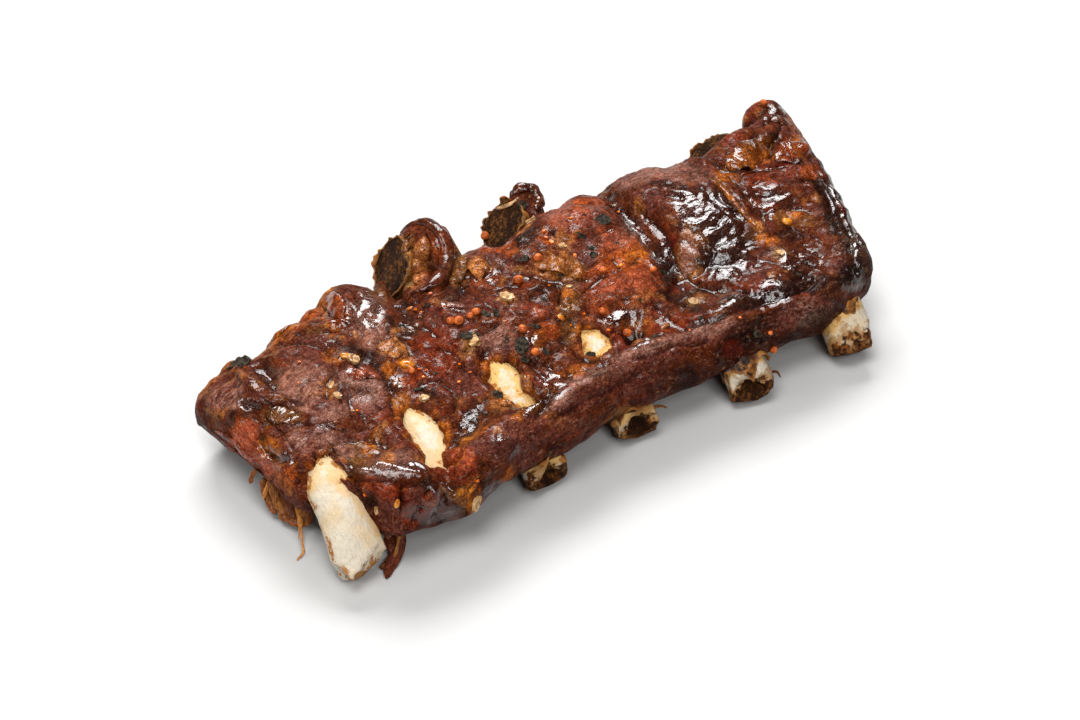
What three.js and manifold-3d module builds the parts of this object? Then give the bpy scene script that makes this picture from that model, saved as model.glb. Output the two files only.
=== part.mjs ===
// A rack of roasted pork ribs: six curved rib bones run through one slab of meat.
// X runs along the rack, -Y is the front edge where the bone tips come out under a thick lip,
// +Y is the back edge with the sawn rib heads, and Z is up. Sizes are in millimetres.
// The origin is the bottom centre of the rack's box, and the rack stands on its bone tips and back sole.
import * as THREE from "three";
import { mergeVertices } from "three/addons/utils/BufferGeometryUtils.js";
import Module from "manifold-3d";

const wasm = await Module();
wasm.setup();

// ---- Driving dimensions ----
// The pattern below is drawn with X and Y measured from a point near the rack's middle.
const BOX_MIDDLE = new THREE.Vector2(13.2, 10.4);

const FRONT_X = [-97, 97.5]; // left and right ends of the front edge
const BACK_X = [-100, 129]; // left and right ends of the back edge
const FRONT_Y = -33;
const BACK_Y = 46;
const LEFT_ROUND = 0.05; // share of the length over which each end rounds off
const RIGHT_ROUND = 0.028;
const END_MIDDLE_Z = 17; // height that both ends close towards
const CORNER_PINCH = 0.26; // how far the ends draw in, as a share of the width
const END_LIFT = { left: 6, right: 4 }; // the underside's height at the two ends

const STATIONS = 60; // sections along the rack
const RING_TOP = 28; // points over the lip, top and back wall
const RING_UNDER = 12; // points along the underside

// The slab's section, from under the front lip over the top to the back and home underneath:
// t is the place from the front edge (0) to the back edge (1), and z the height.
const SECTION_TOP = [
  [0.045, 9], [0.0, 12.5], [-0.014, 19], [0.012, 25.4], [0.085, 28.2], [0.19, 26.9],
  [0.38, 28.8], [0.6, 30.6], [0.8, 29.6], [0.93, 25.6], [0.995, 18], [0.99, 8],
];
const SECTION_UNDER = [
  [0.955, 0.6], [0.9, -1], [0.84, 0.4], [0.66, 8], [0.45, 12.4], [0.25, 13.6], [0.11, 11.4],
];

// Swells and dips of the two long edges: [x, half width, how far the edge moves outwards].
const BACK_SWELLS = [
  [-84, 4, 3], [-60, 10, 8], [-39, 8, 10], [-6, 9, 4], [30, 7, 6], [44, 8, 5.5], [66, 10, 4],
  [88, 7, -4], [108, 7, -3], [123, 5, 3],
];
const FRONT_SWELLS = [[-56, 15, 4.5], [6, 14, -2], [72, 18, 4.5]];
const CORNER_STEP = { from: -86, to: -78, depth: 24 }; // the front edge steps in beside the first bone

// Muscles, folds and pits of the top: [x, y, half width, half length, turn in degrees, height].
const RELIEF = [
  [-101, 12, 6, 24, 3, 3.5], [-92.5, 6, 3.5, 14, 3, -3.2], [-86, 29, 2.6, 10, -14, 2.6],
  [-80, 31, 4, 8, -14, -2.6], [-60, 15, 9, 8, 0, 2.6], [-76, 12, 8, 9, 0, 1.4],
  [-42, 44, 7, 13, -10, 4.2], [-31, 36, 4, 12, -12, -3.8], [-12, 33, 3, 9, -30, -4.6],
  [2, 38, 6, 8, -10, 2.4], [11, 44, 4, 6, 0, -2.6], [33, 33, 15, 13, -10, 3.4],
  [26, 1, 13, 9, -8, 3], [47, 18, 4, 25, -9, -4.6], [64, 14, 13, 26, -8, 3.2],
  [47, -9, 7, 4, 0, -4.2], [80, 20, 1.8, 20, -5, 1.6], [96, 14, 12, 16, -8, 1.6],
  [101, 33, 15, 5, 12, 3.8], [104, 23, 13, 3, 14, -2.6], [119, 43, 6, 6, 0, 3.4],
  [-74, -20, 9, 5, 8, 2.6], [-44, -18, 7, 10, 0, -1.8], [-45, 8, 9, 9, 0, -1.6],
  [18, -16, 7, 5, 0, -2.2], [66, -24, 16, 5, 4, 1.6], [-5, -25, 22, 4, 0, 1.4],
];
const COARSE_NOISE = { wave: 15, height: 1.5 };
const FINE_NOISE = { wave: 7, height: 0.9 };

// The rib bones, from left to right. tip and head are centres at the front and back ends; bend is how
// sharply the bone turns down at the tip; saw is the way a sawn head's flat face looks, or null.
const KNEE = 0.42; // share of a bone's length over which it rises from tip to crown
const BONES = [
  { name: "rib_bone_1", tip: [-90.5, -32.5, 3.5], head: [-77, 46, 12], crown: 22.6, bend: 2.1, hook: 0,
    width: 14.6, thick: 10.4, headSize: [5, 5, 5], saw: null },
  { name: "rib_bone_2", tip: [-60, -31, 14], head: [-38, 50, 14], crown: 21.8, bend: 2.6, hook: -2.5,
    width: 12.6, thick: 9.6, headSize: [7, 7, 6.5], saw: null },
  { name: "rib_bone_3", tip: [-29, -33.5, 2.8], head: [-12, 58.5, 13], crown: 21.6, bend: 3.4, hook: 2,
    width: 12.4, thick: 9.6, headSize: [10, 10, 11], saw: [-0.85, 0.2, 0.5] },
  { name: "rib_bone_4", tip: [1, -33, 2.8], head: [28, 57, 11], crown: 21.6, bend: 3.4, hook: 5.5,
    width: 12.2, thick: 9.6, headSize: [9.5, 8.5, 9.5], saw: [-0.7, 0.1, 0.7] },
  { name: "rib_bone_5", tip: [41, -41.5, 3.1], head: [67, 50, 12], crown: 20, bend: 3.2, hook: 3,
    width: 13, thick: 9.8, headSize: [6, 6, 6], saw: null },
  { name: "rib_bone_6", tip: [79.5, -44, 3.9], head: [102, 44, 11], crown: 19.4, bend: 2.8, hook: 2,
    width: 14.2, thick: 11, headSize: [9, 7, 8], saw: [-0.5, 0.1, 0.86] },
];
const HEAD_OFFSET = new THREE.Vector3(-1.5, 1, 3.2); // from the shaft's end to the middle of the head
const SAW_DEPTH = 0.28; // how far into the head the saw went, as a share of its smallest size
const BONE_SIDES = 10;
const BONE_STEPS = 12;
const COVER = 2.5; // least meat over a bone, outside the windows
const BARE_END = [0.27, 0.33]; // where along it the first bone goes in under the meat
const CLEARANCE = 0.4; // gap between a bone and its channel in the meat
const RIDGE_DEPTH = 2.2; // how far the underside rises between the bones, which show there as ridges
const RIDGE_WIDTH = 7;

// Windows that the shrunken meat leaves over the bones: bone, place along it, half width, half length.
const WINDOWS = [[1, 0.165, 5.2, 14.5], [2, 0.21, 5.6, 9], [3, 0.2, 4.8, 6.4]];
const WINDOW_DEPTH = 1.7; // how far the bone's crown stands out of the window's floor

// Rounded pads of meat fused to the slab: centre and half sizes.
const PADS = [
  [[-6, 56, 17.5], [9, 12.5, 11]], [[31.5, 57, 18], [7, 8.5, 10]], [[118, 44, 22], [6.5, 5, 8]],
  [[-20, 50, 6], [8, 8, 6]], [[20, 51, 6], [8, 7, 6]], [[-40, 50, 18], [9, 9, 9]],
];

// Spices stuck to the top, as [x, y]: soaked mustard seeds, and flakes of charred herb with their size.
const SEED_RADIUS = 1.6;
const SEEDS = [
  [-24.5, 18.5], [-21.5, 17], [-15, 18], [3, 22.5], [-10, 3], [-12.5, -7.5], [14, 27],
  [27, 11], [38.5, 2], [14, -5], [13.5, -16.5], [9, 44.5], [-44.5, 11],
];
const FLAKE_THICKNESS = 1;
const FLAKES = [
  [-23, 11, 2.4], [-10.5, 12.5, 2], [-14.5, -3.5, 3.6], [42, 29.5, 2.8], [29, 18, 2], [32, 22, 1.5],
  [-5, 2, 1.6], [-48, 0, 2.2], [40, -4, 2.6], [43.5, 44, 1.4],
];
// Long scraps: dark cumin and pale caraway seeds and strips of onion, as [x, y, half length, turn].
const SCRAPS = [
  [25, -21.5, 2.6, 60], [-50, 31, 2.4, 70], [-69, 14, 2.2, 80], [-56, 21, 2.8, 30], [73, -15, 2.6, 40],
];

// Torn strips that hang from the slab's front corner: where each starts and ends, its width and thickness.
const STRIPS = [
  [[-78.5, -25, 15], [-83.5, -35, 0.6], 6, 3.4],
  [[-91.5, -5, 12], [-94, -13, 6], 8, 5],
];

// ---- Small helpers ----
const smooth = (from, to, x) => THREE.MathUtils.smoothstep(x, from, to);
const lerp = THREE.MathUtils.lerp;
const bell = (x) => Math.exp(-x * x);

function lattice(i, j, k) {
  const value = Math.sin(i * 127.1 + j * 311.7 + k * 74.7) * 43758.5453;
  return (value - Math.floor(value)) * 2 - 1;
}

// Smooth value noise from -1 to 1.
function noise(x, y, z) {
  const [i, j, k] = [Math.floor(x), Math.floor(y), Math.floor(z)];
  const [u, v, w] = [smooth(0, 1, x - i), smooth(0, 1, y - j), smooth(0, 1, z - k)];
  const row = (b, c) => lerp(lattice(i, j + b, k + c), lattice(i + 1, j + b, k + c), u);
  return lerp(lerp(row(0, 0), row(1, 0), v), lerp(row(0, 1), row(1, 1), v), w);
}

function toSolid(geometry) {
  const bare = geometry.clone();
  bare.deleteAttribute("normal");
  bare.deleteAttribute("uv");
  const merged = mergeVertices(bare, 1e-4);
  const mesh = new wasm.Mesh({
    numProp: 3,
    vertProperties: new Float32Array(merged.attributes.position.array),
    triVerts: new Uint32Array(merged.index.array),
  });
  return new wasm.Manifold(mesh);
}

function toGeometry(solid) {
  const mesh = solid.getMesh();
  const geometry = new THREE.BufferGeometry();
  geometry.setAttribute("position", new THREE.BufferAttribute(mesh.vertProperties, 3));
  geometry.setIndex(new THREE.BufferAttribute(mesh.triVerts, 1));
  geometry.computeVertexNormals();
  return geometry;
}

// Skins a row of closed rings, each a list of points, and closes both ends with a fan.
function skin(rings) {
  const sides = rings[0].length;
  const points = rings.flat();
  const faces = [];
  for (let i = 0; i + 1 < rings.length; i++) {
    for (let j = 0; j < sides; j++) {
      const [a, b] = [i * sides + j, i * sides + ((j + 1) % sides)];
      faces.push(a, b, b + sides, a, b + sides, a + sides);
    }
  }
  for (const [ring, flip] of [[0, true], [rings.length - 1, false]]) {
    const middle = rings[ring].reduce((sum, p) => sum.add(p), new THREE.Vector3()).divideScalar(sides);
    const hub = points.push(middle) - 1;
    for (let j = 0; j < sides; j++) {
      const [a, b] = [ring * sides + j, ring * sides + ((j + 1) % sides)];
      faces.push(...(flip ? [hub, b, a] : [hub, a, b]));
    }
  }
  const geometry = new THREE.BufferGeometry().setFromPoints(points);
  geometry.setIndex(faces);
  return geometry;
}

function ellipsoid(centre, size, detail = 2) {
  const geometry = new THREE.IcosahedronGeometry(1, detail);
  geometry.scale(...size);
  geometry.translate(...centre);
  return geometry;
}

// ---- The slab of meat ----
function edgeY(x, level, swells, outwards) {
  return swells.reduce((y, [at, width, move]) => y + outwards * move * bell((x - at) / width), level);
}

function frontY(x) {
  const step = CORNER_STEP.depth * (1 - smooth(CORNER_STEP.from, CORNER_STEP.to, x));
  return edgeY(x, FRONT_Y, FRONT_SWELLS, -1) + step;
}

// Points along the section: an even share over the top and the rest underneath.
function sectionPoints() {
  const control = [...SECTION_TOP, ...SECTION_UNDER].map(([t, z]) => new THREE.Vector3(t, z, 0));
  const curve = new THREE.CatmullRomCurve3(control, true, "catmullrom", 0.5);
  const turn = (SECTION_TOP.length - 1) / control.length;
  const over = (j) => (turn * j) / RING_TOP;
  const under = (j) => turn + ((1 - turn) * j) / RING_UNDER;
  const places = [
    ...Array.from({ length: RING_TOP }, (_, j) => over(j)),
    ...Array.from({ length: RING_UNDER }, (_, j) => under(j)),
  ];
  return places.map((place) => {
    const tangent = curve.getTangent(place);
    const width = BACK_Y - FRONT_Y;
    const normal = new THREE.Vector2(-tangent.y, tangent.x * width).normalize();
    return { point: curve.getPoint(place), normal };
  });
}

function reliefAt(x, y) {
  let height = 0;
  for (const [cx, cy, width, length, turn, rise] of RELIEF) {
    const angle = THREE.MathUtils.degToRad(turn);
    const [dx, dy] = [x - cx, y - cy];
    const across = (dx * Math.cos(angle) + dy * Math.sin(angle)) / width;
    const along = (-dx * Math.sin(angle) + dy * Math.cos(angle)) / length;
    height += rise * bell(Math.hypot(across, along));
  }
  return height;
}

function grain(p) {
  const coarse = noise(p.x / COARSE_NOISE.wave, p.y / COARSE_NOISE.wave, p.z / COARSE_NOISE.wave);
  const fine = noise(p.x / FINE_NOISE.wave, p.y / FINE_NOISE.wave, p.z / FINE_NOISE.wave);
  return COARSE_NOISE.height * coarse + FINE_NOISE.height * fine;
}

// How far the underside's skin draws up between the bones.
function underRidge(x, y) {
  const near = Math.min(...BONES.map((bone) => Math.abs(x - boneCentre(bone, placeOnBone(bone, y)).x)));
  return RIDGE_DEPTH * (1 - bell(near / RIDGE_WIDTH));
}

// The lowest that the top may lie at x, y so that the bones stay covered.
function coverHeight(x, y) {
  let height = 0;
  for (const bone of BONES) {
    const place = placeOnBone(bone, y);
    const centre = boneCentre(bone, place);
    const across = (x - centre.x) / (bone.width / 2 + COVER * 2);
    const bare = bone === BONES[0] ? 1 - smooth(...BARE_END, place) : 0;
    if (Math.abs(across) < 1 && bare < 1) {
      const crown = centre.z + (bone.thick / 2 + COVER) * Math.sqrt(1 - across * across);
      height = Math.max(height, crown - 12 * bare);
    }
  }
  return height;
}

function slabRing(share, section) {
  const left = Math.sqrt(1 - (1 - Math.min(1, share / LEFT_ROUND + 0.03)) ** 2);
  const right = Math.sqrt(1 - (1 - Math.min(1, (1 - share) / RIGHT_ROUND + 0.03)) ** 2);
  const end = left * right;
  const xFront = lerp(...FRONT_X, share);
  const xBack = lerp(...BACK_X, share);
  const yFront = frontY(xFront);
  const yBack = edgeY(xBack, BACK_Y, BACK_SWELLS, 1);
  const lift = END_LIFT.left * (1 - smooth(0, 0.12, share)) + END_LIFT.right * smooth(0.95, 1, share);
  return section.map(({ point, normal }) => {
    const t = 0.5 + (point.x - 0.5) * (1 - CORNER_PINCH * (1 - end));
    const raised = Math.max(point.y, lift);
    const z = lerp(END_MIDDLE_Z, raised, end);
    const p = new THREE.Vector3(lerp(xFront, xBack, t), lerp(yFront, yBack, t), z);
    const onTop = smooth(0.1, 0.8, normal.y);
    const below = smooth(0.1, 0.8, -normal.y) * smooth(3, 8, z);
    const push = (reliefAt(p.x, p.y) * onTop + grain(p) * smooth(0, 6, z)) * end;
    p.y += push * normal.x;
    p.z += push * normal.y + underRidge(p.x, p.y) * below * end;
    const covered = coverHeight(p.x, p.y) * smooth(0.2, 0.6, onTop);
    p.z = Math.max(p.z, 0, covered);
    return p;
  });
}

function slab() {
  const section = sectionPoints();
  const rings = [];
  for (let i = STATIONS; i >= 0; i--) {
    const even = i / STATIONS;
    rings.push(slabRing(even - (0.6 / (2 * Math.PI)) * Math.sin(2 * Math.PI * even), section));
  }
  return skin(rings);
}

// ---- Bones ----
function placeOnBone(bone, y) {
  const place = (y - bone.tip[1]) / (bone.head[1] - bone.tip[1]);
  return THREE.MathUtils.clamp(place, 0, 1);
}

function boneCentre(bone, place) {
  const rise = 1 - (1 - Math.min(place / KNEE, 1)) ** bone.bend;
  const fall = Math.max(0, (place - KNEE) / (1 - KNEE)) ** 2;
  return new THREE.Vector3(
    lerp(bone.tip[0], bone.head[0], place) + bone.hook * bell(place / 0.11),
    lerp(bone.tip[1], bone.head[1], place),
    bone.tip[2] + (bone.crown - bone.tip[2]) * rise + (bone.head[2] - bone.crown) * fall,
  );
}

// The bone's shaft, an oval tube that thickens a little at the tip. grow widens it all round.
function shaft(bone, grow) {
  const rings = [];
  for (let i = 0; i <= BONE_STEPS; i++) {
    const place = (i / BONE_STEPS) ** 1.25;
    const centre = boneCentre(bone, place);
    const before = boneCentre(bone, Math.max(0, place - 0.01));
    const along = boneCentre(bone, Math.min(1, place + 0.01)).sub(before).normalize();
    const side = new THREE.Vector3(along.y, -along.x, 0).normalize();
    const up = side.clone().cross(along);
    const stretch = i === 0 ? -grow : i === BONE_STEPS ? grow : 0;
    const flare = (1 + 0.1 * bell(place / 0.07)) * (1 - 0.4 * smooth(0.86, 1, place));
    const ring = Array.from({ length: BONE_SIDES }, (_, j) => {
      const angle = (-2 * Math.PI * j) / BONE_SIDES;
      const wide = (bone.width / 2) * flare + grow;
      const deep = (bone.thick / 2) * flare + grow;
      return centre.clone()
        .addScaledVector(along, stretch)
        .addScaledVector(side, wide * Math.cos(angle))
        .addScaledVector(up, deep * Math.sin(angle));
    });
    rings.push(ring);
  }
  return toSolid(skin(rings));
}

// A slab-shaped cutter whose flat face passes through point and looks along way.
function halfSpace(point, way) {
  const size = 60;
  const cutter = new THREE.BoxGeometry(size, size, size);
  cutter.translate(0, 0, size / 2);
  const turn = new THREE.Quaternion().setFromUnitVectors(new THREE.Vector3(0, 0, 1), way);
  cutter.applyQuaternion(turn);
  cutter.translate(point.x, point.y, point.z);
  return toSolid(cutter);
}

function boneSolid(bone, grow) {
  const size = bone.headSize.map((half) => half + grow);
  const middle = new THREE.Vector3(...bone.head).add(HEAD_OFFSET);
  let head = toSolid(ellipsoid(middle.toArray(), size, 1));
  if (bone.saw) {
    const way = new THREE.Vector3(...bone.saw).normalize();
    const reach = Math.min(...bone.headSize) * (1 - SAW_DEPTH * 2) + grow;
    const point = middle.clone().addScaledVector(way, reach);
    head = head.subtract(halfSpace(point, way));
  }
  const floor = halfSpace(new THREE.Vector3(...bone.tip).setZ(0), new THREE.Vector3(0, 0, -1));
  return shaft(bone, grow).add(head).subtract(floor);
}

// ---- What is cut from and fused to the slab ----
function windowCutter([index, place, halfWidth, halfLength]) {
  const bone = BONES[index];
  const centre = boneCentre(bone, place);
  const outline = new THREE.Shape();
  const corners = 22;
  for (let i = 0; i < corners; i++) {
    const angle = (2 * Math.PI * i) / corners;
    const ragged = 1 + 0.16 * lattice(i, index, 3);
    const x = halfWidth * ragged * Math.cos(angle);
    const y = halfLength * ragged * Math.sin(angle);
    if (i === 0) outline.moveTo(x, y);
    else outline.lineTo(x, y);
  }
  const cutter = new THREE.ExtrudeGeometry(outline, { depth: 25, bevelEnabled: false });
  const [dx, dy] = [bone.head[0] - bone.tip[0], bone.head[1] - bone.tip[1]];
  const slope = boneCentre(bone, place + 0.06).z - boneCentre(bone, place - 0.06).z;
  cutter.rotateX(Math.atan2(slope, 0.12 * dy));
  cutter.rotateZ(-Math.atan2(dx, dy));
  cutter.translate(centre.x, centre.y, centre.z + bone.thick / 2 - WINDOW_DEPTH);
  return toSolid(cutter);
}

// The point of the slab's top right above x, y.
function topOf(target, x, y) {
  const ray = new THREE.Raycaster(new THREE.Vector3(x, y, 100), new THREE.Vector3(0, 0, -1));
  return ray.intersectObject(target)[0].point;
}

function flake(at, size, index) {
  const outline = new THREE.Shape();
  const corners = 6;
  for (let i = 0; i < corners; i++) {
    const angle = (2 * Math.PI * i) / corners;
    const radius = size * (1 + 0.3 * lattice(i, index, 7));
    if (i === 0) outline.moveTo(radius * Math.cos(angle), radius * Math.sin(angle));
    else outline.lineTo(radius * Math.cos(angle), radius * Math.sin(angle));
  }
  const leaf = new THREE.ExtrudeGeometry(outline, { depth: FLAKE_THICKNESS * 2, bevelEnabled: false });
  leaf.rotateX(0.2 * lattice(index, 1, 1));
  leaf.rotateY(0.2 * lattice(index, 2, 1));
  leaf.translate(at.x, at.y, at.z - FLAKE_THICKNESS);
  return leaf;
}

function scrap(at, halfLength, turn) {
  const seed = ellipsoid([0, 0, 0], [halfLength, 1.1, 0.9], 0);
  seed.rotateZ(THREE.MathUtils.degToRad(turn));
  seed.translate(at.x, at.y, at.z + 0.3);
  return seed;
}

function toppings(target) {
  const seeds = SEEDS.map(([x, y]) => {
    const at = topOf(target, x, y);
    return ellipsoid([at.x, at.y, at.z + SEED_RADIUS * 0.45], [SEED_RADIUS, SEED_RADIUS, SEED_RADIUS], 0);
  });
  const flakes = FLAKES.map(([x, y, size], index) => flake(topOf(target, x, y), size, index));
  const scraps = SCRAPS.map(([x, y, halfLength, turn]) => scrap(topOf(target, x, y), halfLength, turn));
  return [...seeds, ...flakes, ...scraps];
}

// A torn strip of meat: a thin tapering prism that hangs from top to end.
function strip(top, end, width, thickness) {
  const rings = [];
  const steps = 6;
  for (let i = 0; i <= steps; i++) {
    const place = i / steps;
    const centre = new THREE.Vector3(...top).lerp(new THREE.Vector3(...end), place);
    centre.x += 1.2 * Math.sin(place * 4);
    const half = [lerp(width, width * 0.45, place) / 2, lerp(thickness, thickness * 0.5, place) / 2];
    const corners = [[1, 1], [1, -1], [-1, -1], [-1, 1]];
    const ring = corners.map(([a, b]) => new THREE.Vector3(a * half[0], b * half[1], 0).add(centre));
    rings.push(ring);
  }
  return toSolid(skin(rings));
}

function meatSolid() {
  let solid = toSolid(slab());
  for (const [centre, size] of PADS) {
    solid = solid.add(toSolid(ellipsoid(centre, size)));
  }
  for (const [top, end, width, thickness] of STRIPS) {
    solid = solid.add(strip(top, end, width, thickness));
  }
  const bare = new THREE.Mesh(toGeometry(solid), new THREE.MeshBasicMaterial());
  const spices = toppings(bare).map(toSolid);
  for (const cutter of WINDOWS.map(windowCutter)) {
    solid = solid.subtract(cutter);
  }
  for (const spice of spices) {
    solid = solid.add(spice);
  }
  for (const bone of BONES) {
    solid = solid.subtract(boneSolid(bone, CLEARANCE));
  }
  const floor = halfSpace(new THREE.Vector3(0, 0, 0), new THREE.Vector3(0, 0, -1));
  const largest = solid.subtract(floor).decompose().sort((a, b) => b.volume() - a.volume())[0];
  return largest;
}

// ---- The rack ----
function namedMesh(name, solid, material) {
  const mesh = new THREE.Mesh(toGeometry(solid), material);
  mesh.name = name;
  return mesh;
}

const meatMaterial = new THREE.MeshStandardMaterial({ color: 0x5a2418, roughness: 0.35, metalness: 0 });
const boneMaterial = new THREE.MeshStandardMaterial({ color: 0xe8d9ae, roughness: 0.55, metalness: 0 });

const rack = new THREE.Group();
rack.add(namedMesh("meat", meatSolid(), meatMaterial));
for (const bone of BONES) {
  rack.add(namedMesh(bone.name, boneSolid(bone, 0), boneMaterial));
}
rack.position.set(-BOX_MIDDLE.x, -BOX_MIDDLE.y, 0);

export default rack;
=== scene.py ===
# %% [markdown]
# # A rack of roasted ribs
# A cooked rack is one thick slab of meat with rib bones run through it. Three things make it look
# like food: a surface folded by shrinking, a sticky glaze over colours that change every few
# millimetres, and dry pale bones. The frame below holds the exact solids, and each piece made here
# lies where its solid lies.

# %% Load the fixed frame
import math

import bpy
import numpy as np
from mathutils import Matrix, Vector, noise
from mathutils.bvhtree import BVHTree


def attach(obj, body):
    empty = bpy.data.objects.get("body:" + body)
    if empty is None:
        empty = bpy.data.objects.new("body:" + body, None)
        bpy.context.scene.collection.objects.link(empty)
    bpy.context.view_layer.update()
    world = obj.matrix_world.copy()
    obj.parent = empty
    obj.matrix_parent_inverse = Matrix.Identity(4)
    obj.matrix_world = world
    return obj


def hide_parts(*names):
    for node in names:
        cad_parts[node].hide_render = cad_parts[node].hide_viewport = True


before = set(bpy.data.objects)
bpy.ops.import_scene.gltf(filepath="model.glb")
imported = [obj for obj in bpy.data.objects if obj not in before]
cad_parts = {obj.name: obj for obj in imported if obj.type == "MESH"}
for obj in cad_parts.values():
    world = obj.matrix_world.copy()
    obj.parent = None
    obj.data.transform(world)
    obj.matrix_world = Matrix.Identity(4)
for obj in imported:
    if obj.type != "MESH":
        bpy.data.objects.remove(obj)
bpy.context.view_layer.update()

print("nodes:", sorted(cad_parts))

# %% [markdown]
# ## Sizes
# Food is easier to think about in millimetres, so every size below is in millimetres, and the
# meshes are turned to metres when they are made. The pattern is drawn from a point near the rack's
# middle, and the whole rack then shifts so that its box stands centred on the origin.

# %% Sizes of the slab and its bones
MM = 0.001
BOX_MIDDLE = np.array([13.2, 10.4, 0.0])

FRONT_X = (-97, 97.5)
BACK_X = (-100, 129)
FRONT_Y = -33
BACK_Y = 46
END_MIDDLE_Z = 17
CORNER_PINCH = 0.26
END_LIFT = {"left": 6, "right": 4}

# The section as (place from the front edge to the back edge, height), over the top and back under.
SECTION_TOP = [
    (0.045, 9), (0.0, 12.5), (-0.014, 19), (0.012, 25.4), (0.085, 28.2), (0.19, 26.9),
    (0.38, 28.8), (0.6, 30.6), (0.8, 29.6), (0.93, 25.6), (0.995, 18), (0.99, 8),
]
SECTION_UNDER = [(0.955, 0.6), (0.9, -1), (0.84, 0.4), (0.66, 8), (0.45, 12.4), (0.25, 13.6), (0.11, 11.4)]

# Swells of the two long edges: (x, half width, move outwards).
BACK_SWELLS = [
    (-84, 4, 3), (-60, 10, 8), (-39, 8, 10), (-6, 9, 4), (30, 7, 6), (44, 8, 5.5), (66, 10, 4),
    (88, 7, -4), (108, 7, -3), (123, 5, 3),
]
FRONT_SWELLS = [(-56, 15, 4.5), (6, 14, -2), (72, 18, 4.5)]
CORNER_STEP = {"from": -88, "to": -79, "depth": 22}

KNEE = 0.42
BONES = {
    "rib_bone_1": dict(tip=(-90.5, -32.5, 3.5), head=(-77, 46, 12), crown=22.6, bend=2.1, hook=0,
                       width=14.6, thick=10.4, head_size=(5, 5, 5), saw=None),
    "rib_bone_2": dict(tip=(-60, -31, 14), head=(-38, 50, 14), crown=21.8, bend=2.6, hook=-2.5,
                       width=12.6, thick=9.6, head_size=(7, 7, 6.5), saw=None),
    "rib_bone_3": dict(tip=(-29, -33.5, 2.8), head=(-12, 58.5, 13), crown=21.6, bend=3.4, hook=2,
                       width=12.4, thick=9.6, head_size=(10, 10, 11), saw=(-0.85, 0.2, 0.5)),
    "rib_bone_4": dict(tip=(1, -33, 2.8), head=(28, 57, 11), crown=21.6, bend=3.4, hook=5.5,
                       width=12.2, thick=9.6, head_size=(9.5, 8.5, 9.5), saw=(-0.7, 0.1, 0.7)),
    "rib_bone_5": dict(tip=(41, -41.5, 3.1), head=(67, 50, 12), crown=20, bend=3.2, hook=3,
                       width=13, thick=9.8, head_size=(6, 6, 6), saw=None),
    "rib_bone_6": dict(tip=(79.5, -44, 3.9), head=(102, 44, 11), crown=19.4, bend=2.8, hook=2,
                       width=14.2, thick=11, head_size=(10.4, 8.4, 9.8), saw=(-0.5, 0.1, 0.86)),
}
HEAD_XS = [bone["head"][0] for bone in BONES.values()]
print(len(BONES), "bones, about", round(float(np.diff(HEAD_XS).mean()), 1), "mm apart")


# %% Small helpers for shapes
def smooth(low, high, x):
    t = np.clip((x - low) / (high - low), 0, 1)
    return t * t * (3 - 2 * t)


def bell(x):
    return np.exp(-np.square(x))


def mix(a, b, t):
    return a + (b - a) * t


def unit(v):
    v = np.asarray(v, float)
    return v / np.maximum(np.linalg.norm(v, axis=-1, keepdims=True), 1e-9)


print("a bell at half its width:", round(float(bell(0.5)), 2))


# %% [markdown]
# ## Uneven surfaces
# Two kinds of unevenness are needed. The slow one is the value noise that the solids also have, so
# that both agree. The fine one is Blender's own noise, bent into folds: the absolute value of a
# noise has round tops and sharp valleys, which is how wrinkled meat looks.

# %% Noises
HASH = (127.1, 311.7, 74.7)
HASH_SIZE = 43758.5453
SEED_SHIFT = 17.31
FOLD_DEPTH = 2.2


def lattice(i, j, k):
    value = np.sin(i * HASH[0] + j * HASH[1] + k * HASH[2]) * HASH_SIZE
    return (value - np.floor(value)) * 2 - 1


def slow_noise(points, wave):
    q = points / wave
    cell = np.floor(q)
    f = smooth(0, 1, q - cell)
    total = 0
    for corner in np.ndindex(2, 2, 2):
        weight = np.prod(np.where(corner, f, 1 - f), axis=-1)
        total = total + weight * lattice(*np.moveaxis(cell + corner, -1, 0))
    return total


def fine_noise(points, wave, seed=0, stretch=(1, 1, 1)):
    flat = (points.reshape(-1, 3) / wave / np.asarray(stretch, float) + seed * SEED_SHIFT).tolist()
    values = np.fromiter((noise.noise(p) for p in flat), float, len(flat))
    return values.reshape(points.shape[:-1])


def wobble(start, points, *rows):
    """rows: (size, wave in mm, seed) of each noise that is added to the start"""
    return sum((size * fine_noise(points, wave, seed) for size, wave, seed in rows), start)


def folds(points, *rows):
    """rows: (height, wave in mm, seed, and a stretch if it has one) of each kind of fold"""
    return sum(height * (1 - FOLD_DEPTH * np.abs(fine_noise(points, *row))) for height, *row in rows)


print("slow noise at the origin:", round(float(slow_noise(np.zeros((1, 3)), 15)[0]), 3))

# %% [markdown]
# ## The camera
# The camera goes in first, so that each piece can be looked at as it comes. It looks down at the
# front left corner from about arm's length through a long lens.

# %% Camera
VIEW_ELEVATION = math.radians(40.745)
VIEW_HEADING = math.radians(53.66)
VIEW_ROLL = math.radians(-0.727)
VIEW_DISTANCE = 0.8841
VIEW_TARGET = Vector((-0.01048, 0.00032, 0.005))
LENS = 97.42
SENSOR = 36
VIEW_END = 20


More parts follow.
